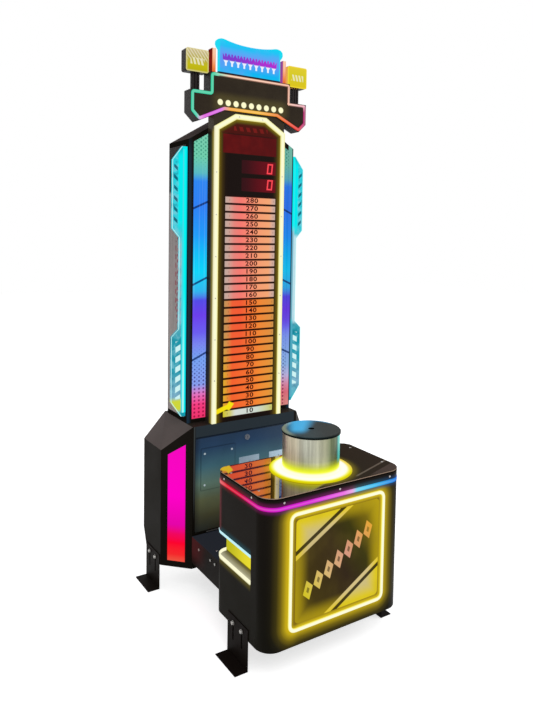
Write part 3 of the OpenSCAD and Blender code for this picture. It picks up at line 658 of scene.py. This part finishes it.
def rainbow(paint, x, z):
    """Colours of the column lights, with three dark slanted seams."""
    colour = z.ramp(
        (739, 238, 50, 105), (800, 245, 62, 130), (842, 228, 112, 190), (885, 136, 160, 242),
        (1000, 118, 162, 242), (1060, 122, 134, 240), (1110, 108, 94, 240), (1186, 108, 64, 236),
        (1250, 84, 76, 232), (1290, 48, 184, 238), (1372, 14, 214, 250), (1448, 16, 192, 250),
        (1530, 32, 155, 250), (1651, 46, 128, 244), (1756, 46, 134, 242), (1790, 88, 186, 196),
        (1860, 110, 206, 172), (1959, 122, 205, 174))
    paler = z.ramp(
        (740, 206, 146, 132), (800, 206, 112, 118), (840, 204, 140, 160), (880, 190, 178, 212),
        (930, 140, 176, 218), (1100, 112, 138, 228))
    right = x.ease(-10, 10)
    rise = z + (abs(x) - LIGHTS_INNER) * 0.45
    seams = [(abs(rise - at).ease(6, 3.5) * 0.9, (12, 46, 112)) for at in (1670, 1346, 1022)]
    return paint.over(
        colour,
        (right * z.ease(1060, 1160) * 0.5, paint.times(colour, (214, 176, 214))),
        (right * z.ease(1140, 1040) * 0.8, paler),
        *seams)


@paints("column_rainbow", "column_lights")
def column_lights(paint, x, y, z):
    """The light's colours, with dots at both ends."""
    pitch, row = 21, 17
    upright = paint.noise(140, (1, 1, 0.01), detail=2)
    colour = paint.over(rainbow(paint, x, z), (upright.ease(0.55, 0.75) * 0.05, WHITE))
    shade = paint.times(colour, z.ramp(
        (700, 150, 80, 120), (900, 120, 60, 120), (1000, 120, 130, 170), (1900, 130, 180, 180)))
    size = z.ease(1130, 860) * 4.6 + z.ease(1790, 1900) * 4.2
    between = z.ease(860, 940) * z.ease(1160, 1100) + z.ease(1780, 1840)
    dots = []
    for shift, share, fade in ((0, 1, 1), (0.5, 0.7, between)):
        dot_x = (abs(x) - LIGHTS_INNER - pitch * (0.5 + shift)).wrap(pitch)
        dot_z = (z - row * shift).wrap(row)
        dots.append(((length(dot_x, dot_z) - size * share).ease(1.4, -1) * fade * 0.8, shade))
    paint.lit(colour, *dots)


@paints("corner_window", "corner_windows")
def corner_windows(paint, x, y, z):
    """Magenta, red in its lowest quarter, darker along its sides."""
    colour = z.ramp(
        (136, 236, 84, 66), (165, 244, 40, 44), (215, 252, 4, 46), (255, 240, 8, 96),
        (295, 228, 6, 168), (420, 254, 2, 200), (645, 244, 10, 190))
    rim = abs(abs(x) - 315).ease(22, 32)
    paint.lit(colour, (rim * 0.45, paint.times(colour, (222, 160, 200))))


@paints("wing_print", "wings")
def wings(paint, x, y, z):
    """Teal, with slanted blocks below, short hooks above, a yellow foot and painted shade at its top."""
    out = abs(x) - COLUMN.high.x
    up = z - WINGS.low.z
    cloud = paint.noise(34, detail=4, rough=0.6)
    field = up.ramp(
        (0, 60, 190, 200), (90, 120, 168, 194), (200, 40, 158, 178), (330, 30, 150, 168),
        (400, 100, 184, 200), (720, 124, 196, 208), (800, 60, 204, 218), (1146, 34, 208, 222))
    block = abs((up + out * 0.5 - 12).wrap(43)).ease(13, 11) * out.band(25, 48, 1.5)
    hook = abs((up - out * 0.9).wrap(44)).ease(9, 6) * out.band(43, 60, 2) * up.band(820, 1070, 4)
    lines = abs((up * 0.35 + out).wrap(15)).ease(2, 1) * up.band(400, 740, 10)
    paint.lit(
        field,
        (cloud.ease(0.48, 0.66) * 0.5, (140, 206, 222)),
        (cloud.ease(0.46, 0.34) * 0.4, (14, 96, 124)),
        (up.band(25, 78, 12) * x.ease(10, -10), (206, 214, 60)),
        (block * up.band(78, 325, 4), (206, 244, 244)),
        (out.ease(42, 37) * up.ease(780, 840), (6, 236, 240)),
        (hook * 0.85, (10, 70, 96)),
        (lines * 0.5, (190, 150, 170)),
        # Painted shade at the top of the wing.
        (up.ease(1100, 1146) * 0.7, (30, 120, 160)),
        (out.ease(24, 19), up.ease(100, 0).mix((10, 232, 236), (20, 150, 170))),
        (x.ease(-10, 10) * up.band(370, 780, 12) * 0.8, (196, 230, 240)))


@paints("wing_band_lit", "wing_bands")
def wing_bands(paint, x, y, z):
    """Bright cyan, with painted shade towards the column and at its top, and whiter low down."""
    out = (abs(x) - COLUMN.high.x - 1) / 18
    up = z - Box("wing_bands").low.z
    right = x.ease(-10, 10)
    slim = out.ease(0.7, 0.95).mix((116, 160, 184), (198, 232, 242))
    paint.lit(
        out.ramp((0, 0, 150, 178), (0.22, 0, 226, 232), (0.5, 4, 250, 244), (0.8, 10, 240, 240),
                 (1, 80, 214, 230)),
        # Painted shade at the top of the band.
        (up.ease(1110, 1150) * 0.7, (60, 120, 190)),
        (out.band(0.55, 0.9, 0.15) * up.ease(550, 100) * 0.8, (206, 252, 250)),
        (right * up.band(360, 790, 20) * 0.9, slim),
        (right * up.ease(380, 340) * 0.85, (64, 148, 180)),
        (right * out.ease(0.42, 0.22), (4, 54, 88)))


@paints("side_print", "side_panels", spec=0.05)
def side_panels(paint, x, y, z):
    """Pinkish grey, with upright streaks and a column of rose dashes."""
    streak = paint.noise(180, (1, 1, 0.02), detail=4, rough=0.7)
    broken = paint.noise(60, (1, 1, 0.6), detail=1).ease(0.4, 0.46)
    dash = abs((z + y * 0.5).wrap(24)).ease(7.5, 6) * y.band(322, 346, 2) * z.band(1140, 1620, 6)
    thin = abs((z - y * 0.5).wrap(38)).ease(12, 10) * y.band(352, 360, 1) * z.band(1200, 1500, 6)
    colour = paint.over(
        (168, 158, 156),
        (streak.ease(0.35, 0.7), (200, 188, 186)),
        (paint.noise(9).ease(0.5, 0.8) * 0.4, (180, 152, 154)),
        ((dash * broken).max(thin) * 0.9, (168, 48, 78)),
        (z.ease(1704, 1720) * 0.95, (26, 22, 22)))
    paint.grain(colour, 0.5, spread=0.06)


# Materials of the display

def chamfer(x, z):
    """Distance inwards from the sloped upper corners of the display frame."""
    return (DISPLAY.high.z - z) * 0.857 + (77 - abs(x)) * 0.514


@paints("display_yellow", "display_frame")
def display_frame(paint, x, y, z):
    """Pale yellow, nearly white along its middle."""
    edge = (DISPLAY.high.x - abs(x)).min(DISPLAY.high.z - z).min(chamfer(x, z))
    far = x.ease(8 - DISPLAY.high.x, 2 - DISPLAY.high.x)
    side = y.ease(DISPLAY.low.y + 0.5, DISPLAY.low.y + 5)
    paint.lit(
        (246, 240, 158),
        (edge.band(3, 18, 4), (252, 252, 214)),
        (edge.ease(19, 22) * 0.4, (214, 204, 110)),
        (far * 0.6, (240, 236, 214)),
        (side, far.mix((146, 142, 78), (190, 184, 140))))


def pointer(x, z):
    """Yellow arrow at the foot of the scale."""
    rise = abs(z - 779 - (x + 124) * 0.32)
    shaft = rise.ease(13, 8) * x.ease(-76, -84)
    return shaft.max((abs(x + 90) * 0.9 + rise).ease(24, 17))


@paints("display_panel", "display_glass", spec=0.02)
def display(paint, x, y, z):
    """Black, with a header, two digit windows and yellow light at its rim."""
    paint.grain((16, 11, 9), 0.35, spread=0.05)
    rim = (DISPLAY.high.x - 22 - abs(x)).min(DISPLAY.high.z - 24 - z).min(chamfer(x, z) - 22)
    light = rim.ramp(
        (0, 126, 108, 12), (8, 92, 76, 12), (20, 54, 40, 10), (34, 24, 14, 8), (50, 18, 11, 9))
    header = x.band(-134, 134, 3) * z.band(1878, 1957, 2)
    red = paint.noise(16, detail=2).ease(0.35, 0.7).mix((82, 8, 12), (98, 12, 14))
    mark = abs((x + z * 0.4).wrap(34)).ease(10, 8) * z.band(1974, 1992, 1) * x.band(-82, 86, 1)
    windows = x.band(-42, 132, 2) * (z.band(1720, 1777, 1.5) + z.band(1796, 1853, 1.5))
    behind = z.band(CELLS.low.z - 4, CELLS.high.z + 4, 2) * x.band(CELLS.low.x - 2, CELLS.high.x + 2, 1)
    paint.lit(
        light,
        (z.ease(1955, 1965) * rim.ease(8, 20) * 0.9, (74, 14, 10)),
        (header, red),
        (mark * 0.7, (128, 24, 22)),
        (windows, x.ease(-40, 95).mix((50, 10, 18), (100, 6, 22))),
        (behind, (26, 5, 4)),
        (pointer(x, z), (244, 222, 16)))


@paints("scale_lit", "scale_cells")
def cells(paint, x, y, z):
    """Coral with grey ends at the top, red-orange with ochre ends below."""
    pale = x.ramp(
        (-122, 190, 166, 156), (-104, 204, 164, 150), (-76, 232, 130, 120), (-45, 248, 118, 108),
        (-10, 250, 132, 108), (40, 248, 154, 108), (100, 246, 166, 112), (114, 220, 172, 150),
        (133, 196, 170, 160))
    strong = x.ramp(
        (-122, 196, 150, 84), (-100, 218, 138, 70), (-82, 246, 96, 42), (-40, 248, 90, 38),
        (10, 248, 116, 38), (60, 246, 138, 42), (112, 230, 146, 56), (133, 204, 148, 70))
    low = x.ramp(
        (-122, 226, 176, 30), (-98, 236, 140, 36), (-78, 250, 98, 30), (10, 250, 116, 32),
        (60, 248, 140, 38), (112, 236, 152, 46), (133, 216, 162, 60))
    lowest = x.ramp(
        (-122, 208, 196, 36), (-85, 210, 204, 120), (-60, 214, 220, 214), (50, 206, 218, 206),
        (133, 200, 200, 100))
    first = CELLS.low.z + CELL_PITCH - 2
    switch = first + 14 * CELL_PITCH
    upper = z.ease(switch - 1, switch + 1)
    from_mid = abs((z - CELLS.low.z - CELL_TALL / 2).wrap(CELL_PITCH))
    ticks = abs(x + 100).ease(2.6, 1.6) + abs(x - 121).ease(2.6, 1.6)
    paint.lit(
        strong,
        (z.ease(1160, 880), low),
        (upper, pale),
        (0.05, upper.mix((60, 110, 160), (200, 190, 190))),
        (z.ease(first + 1, first - 1), lowest),
        (from_mid.ease(CELL_TALL / 2 - 3.2, CELL_TALL / 2 - 1.6) * 0.95, (38, 4, 3)),
        (ticks * from_mid.ease(5, 3.5) * 0.35, (110, 80, 66)),
        (pointer(x, z), (246, 226, 20)))


# Materials of the tower's top

def marquee_tube_paint():
    """Marquee tube: colours round the outline, darker beside its core on top."""
    paint = Paint("marquee_tube")
    x, y, z = paint.xyz()
    over = x.ramp(
        (-288, 58, 206, 164), (-185, 44, 208, 160), (-150, 166, 222, 190), (-110, 252, 208, 176),
        (60, 254, 200, 172), (186, 252, 190, 160), (205, 250, 200, 184), (288, 240, 170, 190))
    under = x.ramp(
        (-288, 48, 206, 162), (-262, 70, 210, 176), (-244, 232, 150, 226), (-225, 222, 84, 222),
        (-150, 222, 110, 232), (-128, 236, 150, 150), (-105, 246, 170, 44), (30, 250, 190, 50),
        (120, 242, 138, 30), (170, 236, 96, 28), (225, 236, 54, 34), (250, 222, 44, 50),
        (268, 196, 46, 120), (288, 150, 34, 96))
    side = x.ease(272, 282)
    line = z.ease(2085, 2112) * (1 - side) + z.ease(2108, 2118) * side
    shelf = MARQUEE.low.z + 117
    off = abs(z - MARQUEE.high.z + 8).min(abs(x - 190.7)).min(abs(z - shelf))
    slim = off.ease(2.6, 4.4) * x.band(-160, 270, 8) * z.ease(shelf - 9, shelf - 6)
    core = paint.facing()[1].ease(-0.8, -0.97) * 0.1
    return paint.lit(under, (line, over), (core, WHITE), (slim * 0.85, (96, 60, 50)))


@paints("marquee_brown", "marquee_face", spec=0.02)
def marquee_face(paint, x, y, z):
    """Dark brown, with a row of pale lit discs."""
    paint.grain(paint.over((46, 38, 32), (paint.noise(12), (60, 52, 40))), 0.45, spread=0.06)
    rise = z - MARQUEE.low.z - 86
    glow = abs(x).ease(210, 150) * abs(rise).ease(52, 16)
    discs = length(x.wrap(38), rise).ease(14, 11) * abs(x).ease(170, 168)
    paint.lit(BLACK, (glow * 0.8, (66, 60, 24)), (discs, (252, 250, 204)))


@paints("bar_lit", "sign_bars")
def sign_bars(paint, x, y, z):
    """Peach to orange in front; painted shade makes their sides dark red on the left bar and purple on
    the right.
    """
    up = (z - SIGN.low.z) / 101
    # side: painted shade on the bars' side faces
    side = paint.over(
        up.ramp((0, 96, 26, 18), (0.5, 128, 22, 14), (1, 104, 24, 18)), (x.ease(-10, 10), (146, 70, 150)))
    front = paint.over(
        up.ramp((0, 226, 92, 44), (0.25, 244, 140, 78), (0.7, 252, 196, 160), (1, 252, 206, 176)),
        (abs(abs(x) - 176).ease(3, 7) * 0.5, (240, 130, 60)))
    paint.lit(side, (paint.facing()[1].ease(-0.5, -0.8), front))


@paints("sign_lit", "sign_panel")
def sign(paint, x, y, z):
    """Azure, with a paler rim and a zigzag of violet and white bars."""
    pitch = 30
    up = z - SIGN.low.z
    rise = up - 66
    field = (up / (2 * SIGN.half.z)).ramp(
        (0, 10, 196, 240), (0.16, 20, 180, 244), (0.38, 84, 158, 246), (0.62, 96, 164, 246),
        (0.8, 40, 190, 246), (1, 14, 212, 244))
    edge = (154 - abs(x)).min(up).min(SIGN.high.z - z)
    zigzag = abs(rise + abs((x + pitch / 2).wrap(pitch)) * 1.5 - 11).ease(13, 11)
    upright = abs(x.wrap(pitch)).ease(5, 3.6) * abs(rise + 4).ease(26, 24.5)
    bars = zigzag.max(upright) * abs(x).ease(136, 134)
    violet = x.ease(-100, 100).mix((128, 60, 206), (176, 50, 208))
    paint.lit(
        field,
        (paint.noise(14, detail=2).ease(0.42, 0.72) * 0.4, (110, 150, 246)),
        (edge.ease(9, 2) * 0.8, (30, 224, 240)),
        (bars, paint.over(violet, (rise.ease(-4, -9), (236, 244, 255)))),
        (up.ease(10, 8), (34, 28, 40)))


@paints("block_face", "head_faces")
def head_faces(paint, x, y, z):
    """Olive-yellow, with slanted bars and pale slanted streaks."""
    up = (z - FACES.low.z) / (2 * FACES.half.z)
    across = abs(abs(x) - 250)
    right = x.ease(-20, 20)
    streak = abs((x + z * 0.8).wrap(15)).ease(3, 1) * up.ease(0.42, 0.6) * (1 - right)
    bar = abs(up - 0.46).ease(0.16, 0.13) * abs((x + z * 0.3).wrap(17)).ease(5.5, 4.2)
    rim = across.ease(44, 49).max(up.ease(0.92, 0.99)).max(up.ease(0.08, 0.01))
    paint.lit(
        up.ramp((0, 186, 176, 20), (0.3, 196, 188, 24), (0.52, 184, 172, 60), (0.8, 196, 184, 128),
                (1, 206, 190, 140)),
        (right, up.ramp((0, 222, 196, 30), (0.5, 212, 202, 40), (1, 226, 204, 50))),
        (streak * 0.8, (240, 232, 208)),
        (bar * across.ease(33, 31) * 0.75, (242, 238, 206)),
        (rim * 0.7, right.mix((222, 212, 150), (248, 222, 60))))


# Building helpers

def place_object(name, data):
    made = bpy.data.objects.new(name, data)
    bpy.context.scene.collection.objects.link(made)
    return made


def add_mesh(name, points, faces, paint, body="cabinet", smooth=False):
    mesh = bpy.data.meshes.new(name)
    mesh.from_pydata([Vector(p) * MM for p in points], [], faces)
    mesh.materials.append(paint.material)
    if smooth:
        mesh.polygons.foreach_set("use_smooth", [True] * len(mesh.polygons))
    made = place_object(name, mesh)
    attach(made, body)
    return made


def skin(count, rings, start=0, closed=False, flip=False):
    """Faces that join rings of count points, the first of them at point start."""
    faces = []
    for ring in range(rings if closed else rings - 1):
        here = start + ring * count
        there = start + (ring + 1) % rings * count
        for k in range(count):
            m = (k + 1) % count
            if flip:
                faces.append((here + k, here + m, there + m, there + k))
            else:
                faces.append((here + k, there + k, there + m, here + m))
    return faces


def with_neighbours(points):
    """Each point of a closed outline between the ones before and after it."""
    points = [Vector(p) for p in points]
    return zip(points[-1:] + points[:-1], points, points[1:] + points[:1])


def rounded(points, radius, steps):
    """A closed outline's corners replaced by arcs."""
    made = []
    for before, here, after in with_neighbours(points):
        a, b = (before - here).normalized(), (after - here).normalized()
        reach = radius / math.tan(a.angle(b) / 2)
        reach = min(reach, 0.45 * (before - here).length, 0.45 * (after - here).length)
        start, end = here + a * reach, here + b * reach
        for k in range(steps + 1):
            t = k / steps
            made.append((1 - t) ** 2 * start + 2 * t * (1 - t) * here + t * t * end)
    return made


def inset(points, by):
    """A closed anticlockwise outline moved inwards."""
    made = []
    for before, here, after in with_neighbours(points):
        u, v = (here - before).normalized(), (after - here).normalized()
        n, m = Vector((-u.y, u.x)), Vector((-v.y, v.x))
        made.append(here + by * (n + m) / (1 + n.dot(m)))
    return made


def tube_round(name, outline, back_y, depth, width, paint, sides=9):
    """A half-round lit tube along a closed outline in a plane facing -Y."""
    points = []
    for before, here, after in with_neighbours(outline):
        ahead = (after - here).normalized()
        along = ((here - before).normalized() + ahead).normalized()
        side = Vector((along.y, -along.x)) / max(0.5, along.dot(ahead))
        for k in range(sides):
            turn = math.pi * k / (sides - 1)
            p = here + side * (width / 2 * math.cos(turn))
            points.append((p.x, back_y - depth * math.sin(turn) ** 0.75, p.y))
    faces = skin(sides, len(outline), closed=True)
    return add_mesh(name, points, faces, paint, smooth=True)


def islands(name):
    """Lowest and highest corners of a node's separate solids."""
    mesh = bmesh.new()
    mesh.from_mesh(node(name).data)
    bmesh.ops.remove_doubles(mesh, verts=mesh.verts, dist=0.02 * MM)
    turn = node(name).matrix_world
    left = set(mesh.verts)
    found = []
    while left:
        edge, places = [left.pop()], []
        while edge:
            vert = edge.pop()
            places.append(turn @ vert.co / MM)
            near = {link.other_vert(vert) for link in vert.link_edges} & left
            left -= near
            edge += near
        found.append([Vector([pick(p[i] for p in places) for i in range(3)]) for pick in (min, max)])
    mesh.free()
    return sorted(found, key=lambda box: tuple(round(v, 1) for v in box[0]))


# Pieces

def front_tube():
    half = NEON.half.x - 7
    bottom, top = NEON.low.z + 7, NEON.high.z - 7
    outline = rounded([(-half, bottom), (half, bottom), (half, top), (-half, top)], 26, 8)
    made = tube_round("front_tube", outline, NEON.high.y, FRONT_TUBE_DEPTH, 14, tube_paint(), 11)
    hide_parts("front_neon")


def marquee_tube():
    foot = MARQUEE.low.z + 54
    half = [(130, foot), (250, foot - 54), (288, foot - 18), (288, foot + 71), (198.7, foot + 71),
            (198.7, MARQUEE.high.z)]
    outline = rounded(inset(half + [(-x, z) for x, z in reversed(half)], 8), 10, 4)
    back = Box("marquee_neon").high.y
    made = tube_round("marquee_tube", outline, back, 4, 13, marquee_tube_paint())
    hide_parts("marquee_neon")


def scale_numbers():
    ink = plain("number_ink", (58, 8, 12), 0.5, spec=0.0)
    for k in range(CELL_COUNT):
        number = 10 * (k + 1)
        curve = bpy.data.curves.new(f"number_{number}", "FONT")
        curve.body = str(number)
        curve.size = 27 * MM
        curve.align_x = "CENTER"
        curve.align_y = "CENTER"
        curve.extrude = 0.2 * MM
        curve.offset = 0.6 * MM
        curve.space_character = 1.12
        curve.materials.append(ink.material)
        made = place_object(curve.name, curve)
        middle = CELLS.low.z + k * CELL_PITCH + CELL_TALL / 2
        made.location = Vector((11, CELLS.low.y - 0.3, middle)) * MM
        made.rotation_euler = (math.radians(90), 0, 0)
        made.scale = (1.4, 1, 1)
        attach(made, "cabinet")


def screw_head(axis, foot, radius, height):
    """Points and faces of a domed head with a cross recess."""
    def at(x, y, up):
        return Vector((x * radius, y * radius, up * height))

    sides = 20
    rows = ((1.0, 0.0), (1.0, 0.35), (0.93, 0.62), (0.8, 0.80), (0.62, 0.92))
    turns = [2 * math.pi * k / sides for k in range(sides)]
    points = [at(reach * math.cos(a), reach * math.sin(a), up) for reach, up in rows for a in turns]
    wide, arm = 0.11, 0.46
    cross = [(arm, -wide), (arm, wide), (wide, wide)]
    while len(cross) < 12:
        x, y = cross[-3]
        cross.append((-y, x))
    count, start = len(cross), len(points)
    top = start - sides
    points += [at(x, y, up) for up in (0.94, 0.45) for x, y in cross]
    nearest = [min(range(count), key=lambda m: (points[start + m].xy - points[top + k].xy).length)
               for k in range(sides)]
    faces = skin(sides, len(rows), flip=True)
    for k in range(sides):
        m = (k + 1) % sides
        step = [nearest[k]]
        while step[-1] != nearest[m]:
            step.append((step[-1] + 1) % count)
        faces.append((top + k, top + m, *(start + i for i in reversed(step))))
    faces += skin(count, 2, start, flip=True)
    faces.append(tuple(range(start + count, start + 2 * count)))
    turn = Vector((0, 0, 1)).rotation_difference(axis).to_matrix()
    return [foot + turn @ p for p in points], faces


def outward(low, high):
    """Outward direction, middle of the foot, radius and height of a round head."""
    size, middle = high - low, (low + high) / 2
    thin = min(range(3), key=lambda i: size[i])
    inside = Vector((0, PED.mid.y if middle.y < -100 else 320, 600))
    axis = Vector((0, 0, 0))
    axis[thin] = 1 if thin == 2 or middle[thin] > inside[thin] else -1
    return axis, middle - axis * size[thin] / 2, max(size) / 2, size[thin]


def screw_heads():
    points, faces = [], []
    for low, high in islands("screws"):
        more, links = screw_head(*outward(low, high))
        faces += [tuple(len(points) + i for i in face) for face in links]
        points += more
    steel = plain("screw_steel", (182, 178, 176), 0.3, 1.0)
    made = add_mesh("screw_heads", points, faces, steel)
    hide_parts("screws")


def return_springs():
    """The target's springs, as a piece of their own."""
    joints = frame["record"]["behaviour"]["joints"]
    slide = next(joint for joint in joints if joint["name"] == "target_slide")
    seat = slide["deforming_nodes"][0]["fixed_end_z_m"]
    travel = slide["range_m"][1] - slide["range_m"][0]
    springs = node("post_springs")
    made = place_object("return_springs", springs.data.copy())
    made.matrix_world = springs.matrix_world
    made.data.polygons.foreach_set("use_smooth", [True] * len(made.data.polygons))
    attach(made, "cabinet")
    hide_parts("post_springs")
    keep = 1 - travel / (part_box("post_springs")[1].z - seat)
    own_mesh(made)


def slot_tabs():
    """Dark sheets behind the slots of the foot brackets, standing in for the shade under the shells."""
    half, thick, foot, top = 9, 1.5, 58, PED.low.z
    points, faces = [], []
    for low, high in islands("bolts"):
        if low.z > foot + 80:
            continue
        side = 1 if low.x > 0 else -1
        y = (low.y + high.y) / 2
        wall = (PED if y < 0 else BASE).high.x - 0.3
        outline = rounded([(y - half, foot), (y + half, foot), (y + half, top), (y - half, top)], 6, 4)
        count, start = len(outline), len(points)
        for x in (wall, wall - thick):
            points += [(side * x, p.x, p.y) for p in outline]
        faces.append(tuple(range(start, start + count)))
        faces.append(tuple(range(start + 2 * count - 1, start + count - 1, -1)))
        faces += skin(count, 2, start)
    dark = plain("slot_shade_black", (22, 19, 17), 0.5, spec=0.02)
    add_mesh("slot_tabs", points, faces, dark)


def wing_edges():
    """Bright line along each wing's outer edge: a flat strip beside a path."""
    paint = Paint("wing_edge_lit").lit((196, 250, 250))
    width, back, front = 2.6, WINGS.low.y + 0.6, WINGS.low.y - 0.4
    reach = WINGS.high.x - COLUMN.high.x
    slim = reach - 33
    corners = ((20, 0), (reach, 68), (reach, 346), (slim, 378), (slim, 766), (reach, 804), (reach, 1088),
               (24, 1146))
    for side, label in ((1, "right"), (-1, "left")):
        path = [Vector((side * (COLUMN.high.x + x), WINGS.low.z + z)) for x, z in corners[::side]]
        points = []
        for before, here, after in zip(path[:1] + path, path, path[1:] + path[-1:]):
            along = (after - before).normalized()
            far = here + Vector((-along.y, along.x)) * width
            points += [(p.x, y, p.y) for p, y in ((here, back), (here, front), (far, front), (far, back))]
        end = len(points)
        faces = skin(4, len(path), flip=True) + [(0, 1, 2, 3), (end - 1, end - 2, end - 3, end - 4)]
        add_mesh(f"wing_edge_{label}", points, faces, paint)


# Scene: lengths in metres, power in watts

WORLD_LIGHT = 0.42
FLOOR_REACH = 14
FLOOR_GLOW = 0.68
LIGHTS_AIM = (0, 0, 1.1)


def make_world():
    """White background, which lights the scene less than it shows."""
    world = bpy.data.worlds.new("world")
    bpy.context.scene.world = world
    world.use_nodes = True
    tree = Tree(world.node_tree)
    shade = world.node_tree.nodes["Background"]
    seen = tree.rays("Camera", "Glossy", "Transmission")
    tree.link(shade.inputs["Color"], WHITE)
    tree.link(shade.inputs["Strength"], seen * (1 - WORLD_LIGHT) + WORLD_LIGHT)


def make_floor():
    """Pale floor that fades into the white background and keeps the shadow."""
    mesh = bpy.data.meshes.new("floor")
    corners = [(x * FLOOR_REACH, y * FLOOR_REACH, 0) for x, y in ((-1, -1), (1, -1), (1, 1), (-1, 1))]
    mesh.from_pydata(corners, [], [(0, 1, 2, 3)])
    paint = Paint("floor", rough=0.9)
    paint.shader.inputs["Base Color"].default_value = (0.9, 0.9, 0.9, 1)
    paint.lit(WHITE, strength=paint.rays("Camera", "Glossy") * FLOOR_GLOW)
    mesh.materials.append(paint.material)
    floor = place_object("floor", mesh)


def make_lights():
    """Soft lights round the machine."""
    for name, place, size, power in (
        ("key", (-1.6, -3.0, 3.8), 2.2, 50),
        ("fill", (3.0, -2.0, 2.4), 2.4, 30),
        ("back", (0.5, 3.2, 3.0), 2.4, 35),
    ):
        data = bpy.data.lights.new(name, "AREA")
        data.size = size
        data.energy = power
        light = place_object(name, data)
        light.location = place
        aim = Vector(LIGHTS_AIM) - Vector(place)
        light.rotation_euler = aim.to_track_quat("-Z", "Y").to_euler()


def set_paint(paint, *names):
    for name in names:
        mesh = node(name).data
        mesh.materials.clear()
        mesh.materials.append(paint.material)


def dress_nodes():
    for paint, write, nodes in WRITERS:
        write(paint, *paint.xyz())
        set_paint(paint, *nodes)
    for name, colour, rough, metal, *nodes in (
        ("dark_bolt", (30, 30, 30), 0.4, 0.8, "pad_bolt"),
        ("button_red", (190, 40, 30), 0.35, 0, "coin_button_left", "coin_button_right"),
        ("bright_steel", (196, 196, 192), 0.28, 1,
         "screws", "rear_lock", "rear_hinge", "guide_posts", "post_springs"),
        ("lock_steel", (124, 134, 146), 0.4, 0.2, "door_lock"),
        ("dark_steel", (70, 70, 70), 0.4, 0.9, "door_hinge"),
        ("zinc_steel", (150, 152, 154), 0.4, 0.9, "striker_plate", "power_supply", "cash_box"),
        ("bronze", (176, 130, 70), 0.35, 1, "guide_bushes"),
        ("rubber", (30, 30, 30), 0.7, 0, "bump_stops"),
        ("board_green", (16, 74, 40), 0.5, 0, "control_board"),
        ("matte_plastic", (26, 26, 27), 0.55, 0, "power_inlet", "coin_mechs", "strike_sensor"),
        ("switch_red", (140, 20, 16), 0.35, 0, "power_switch"),
        ("bolt_steel", (150, 148, 144), 0.35, 1, "bolts"),
    ):
        set_paint(plain(name, colour, rough, metal), *nodes)
    set_paint(plain("foot_steel", (24, 19, 16), 0.5, spec=0.02), "foot_brackets")
    set_paint(plain("marquee_dark", (40, 34, 34), 0.45, spec=0.1), "marquee_box")
    set_paint(Paint("digit_red").lit((255, 74, 84)), "score_digits")


def soften_nodes():
    """Small rounded edges, by modifiers alone."""
    for name in ("base_shell", "pedestal_shell", "top_trim", "front_door", "blanking_plate",
                 "foot_brackets", "head_blocks", "marquee_box", "duct_box", "column_shell", "rear_door",
                 "striker_plate", "cash_box", "power_supply", "coin_mechs", "coin_button_left",
                 "coin_button_right", "bolts"):
        weld = node(name).modifiers.new("weld", "WELD")
        weld.merge_threshold = 0.02 * MM
        bevel = node(name).modifiers.new("bevel", "BEVEL")
        bevel.width = 0.8 * MM
        bevel.segments = 2
        bevel.limit_method = "ANGLE"
        bevel.angle_limit = math.radians(35)
        bevel.harden_normals = False


make_camera()
make_world()
make_floor()
make_lights()
dress_nodes()
front_tube()
marquee_tube()
scale_numbers()
screw_heads()
slot_tabs()
return_springs()
wing_edges()
soften_nodes()
bpy.context.scene.view_settings.view_transform = "Standard"
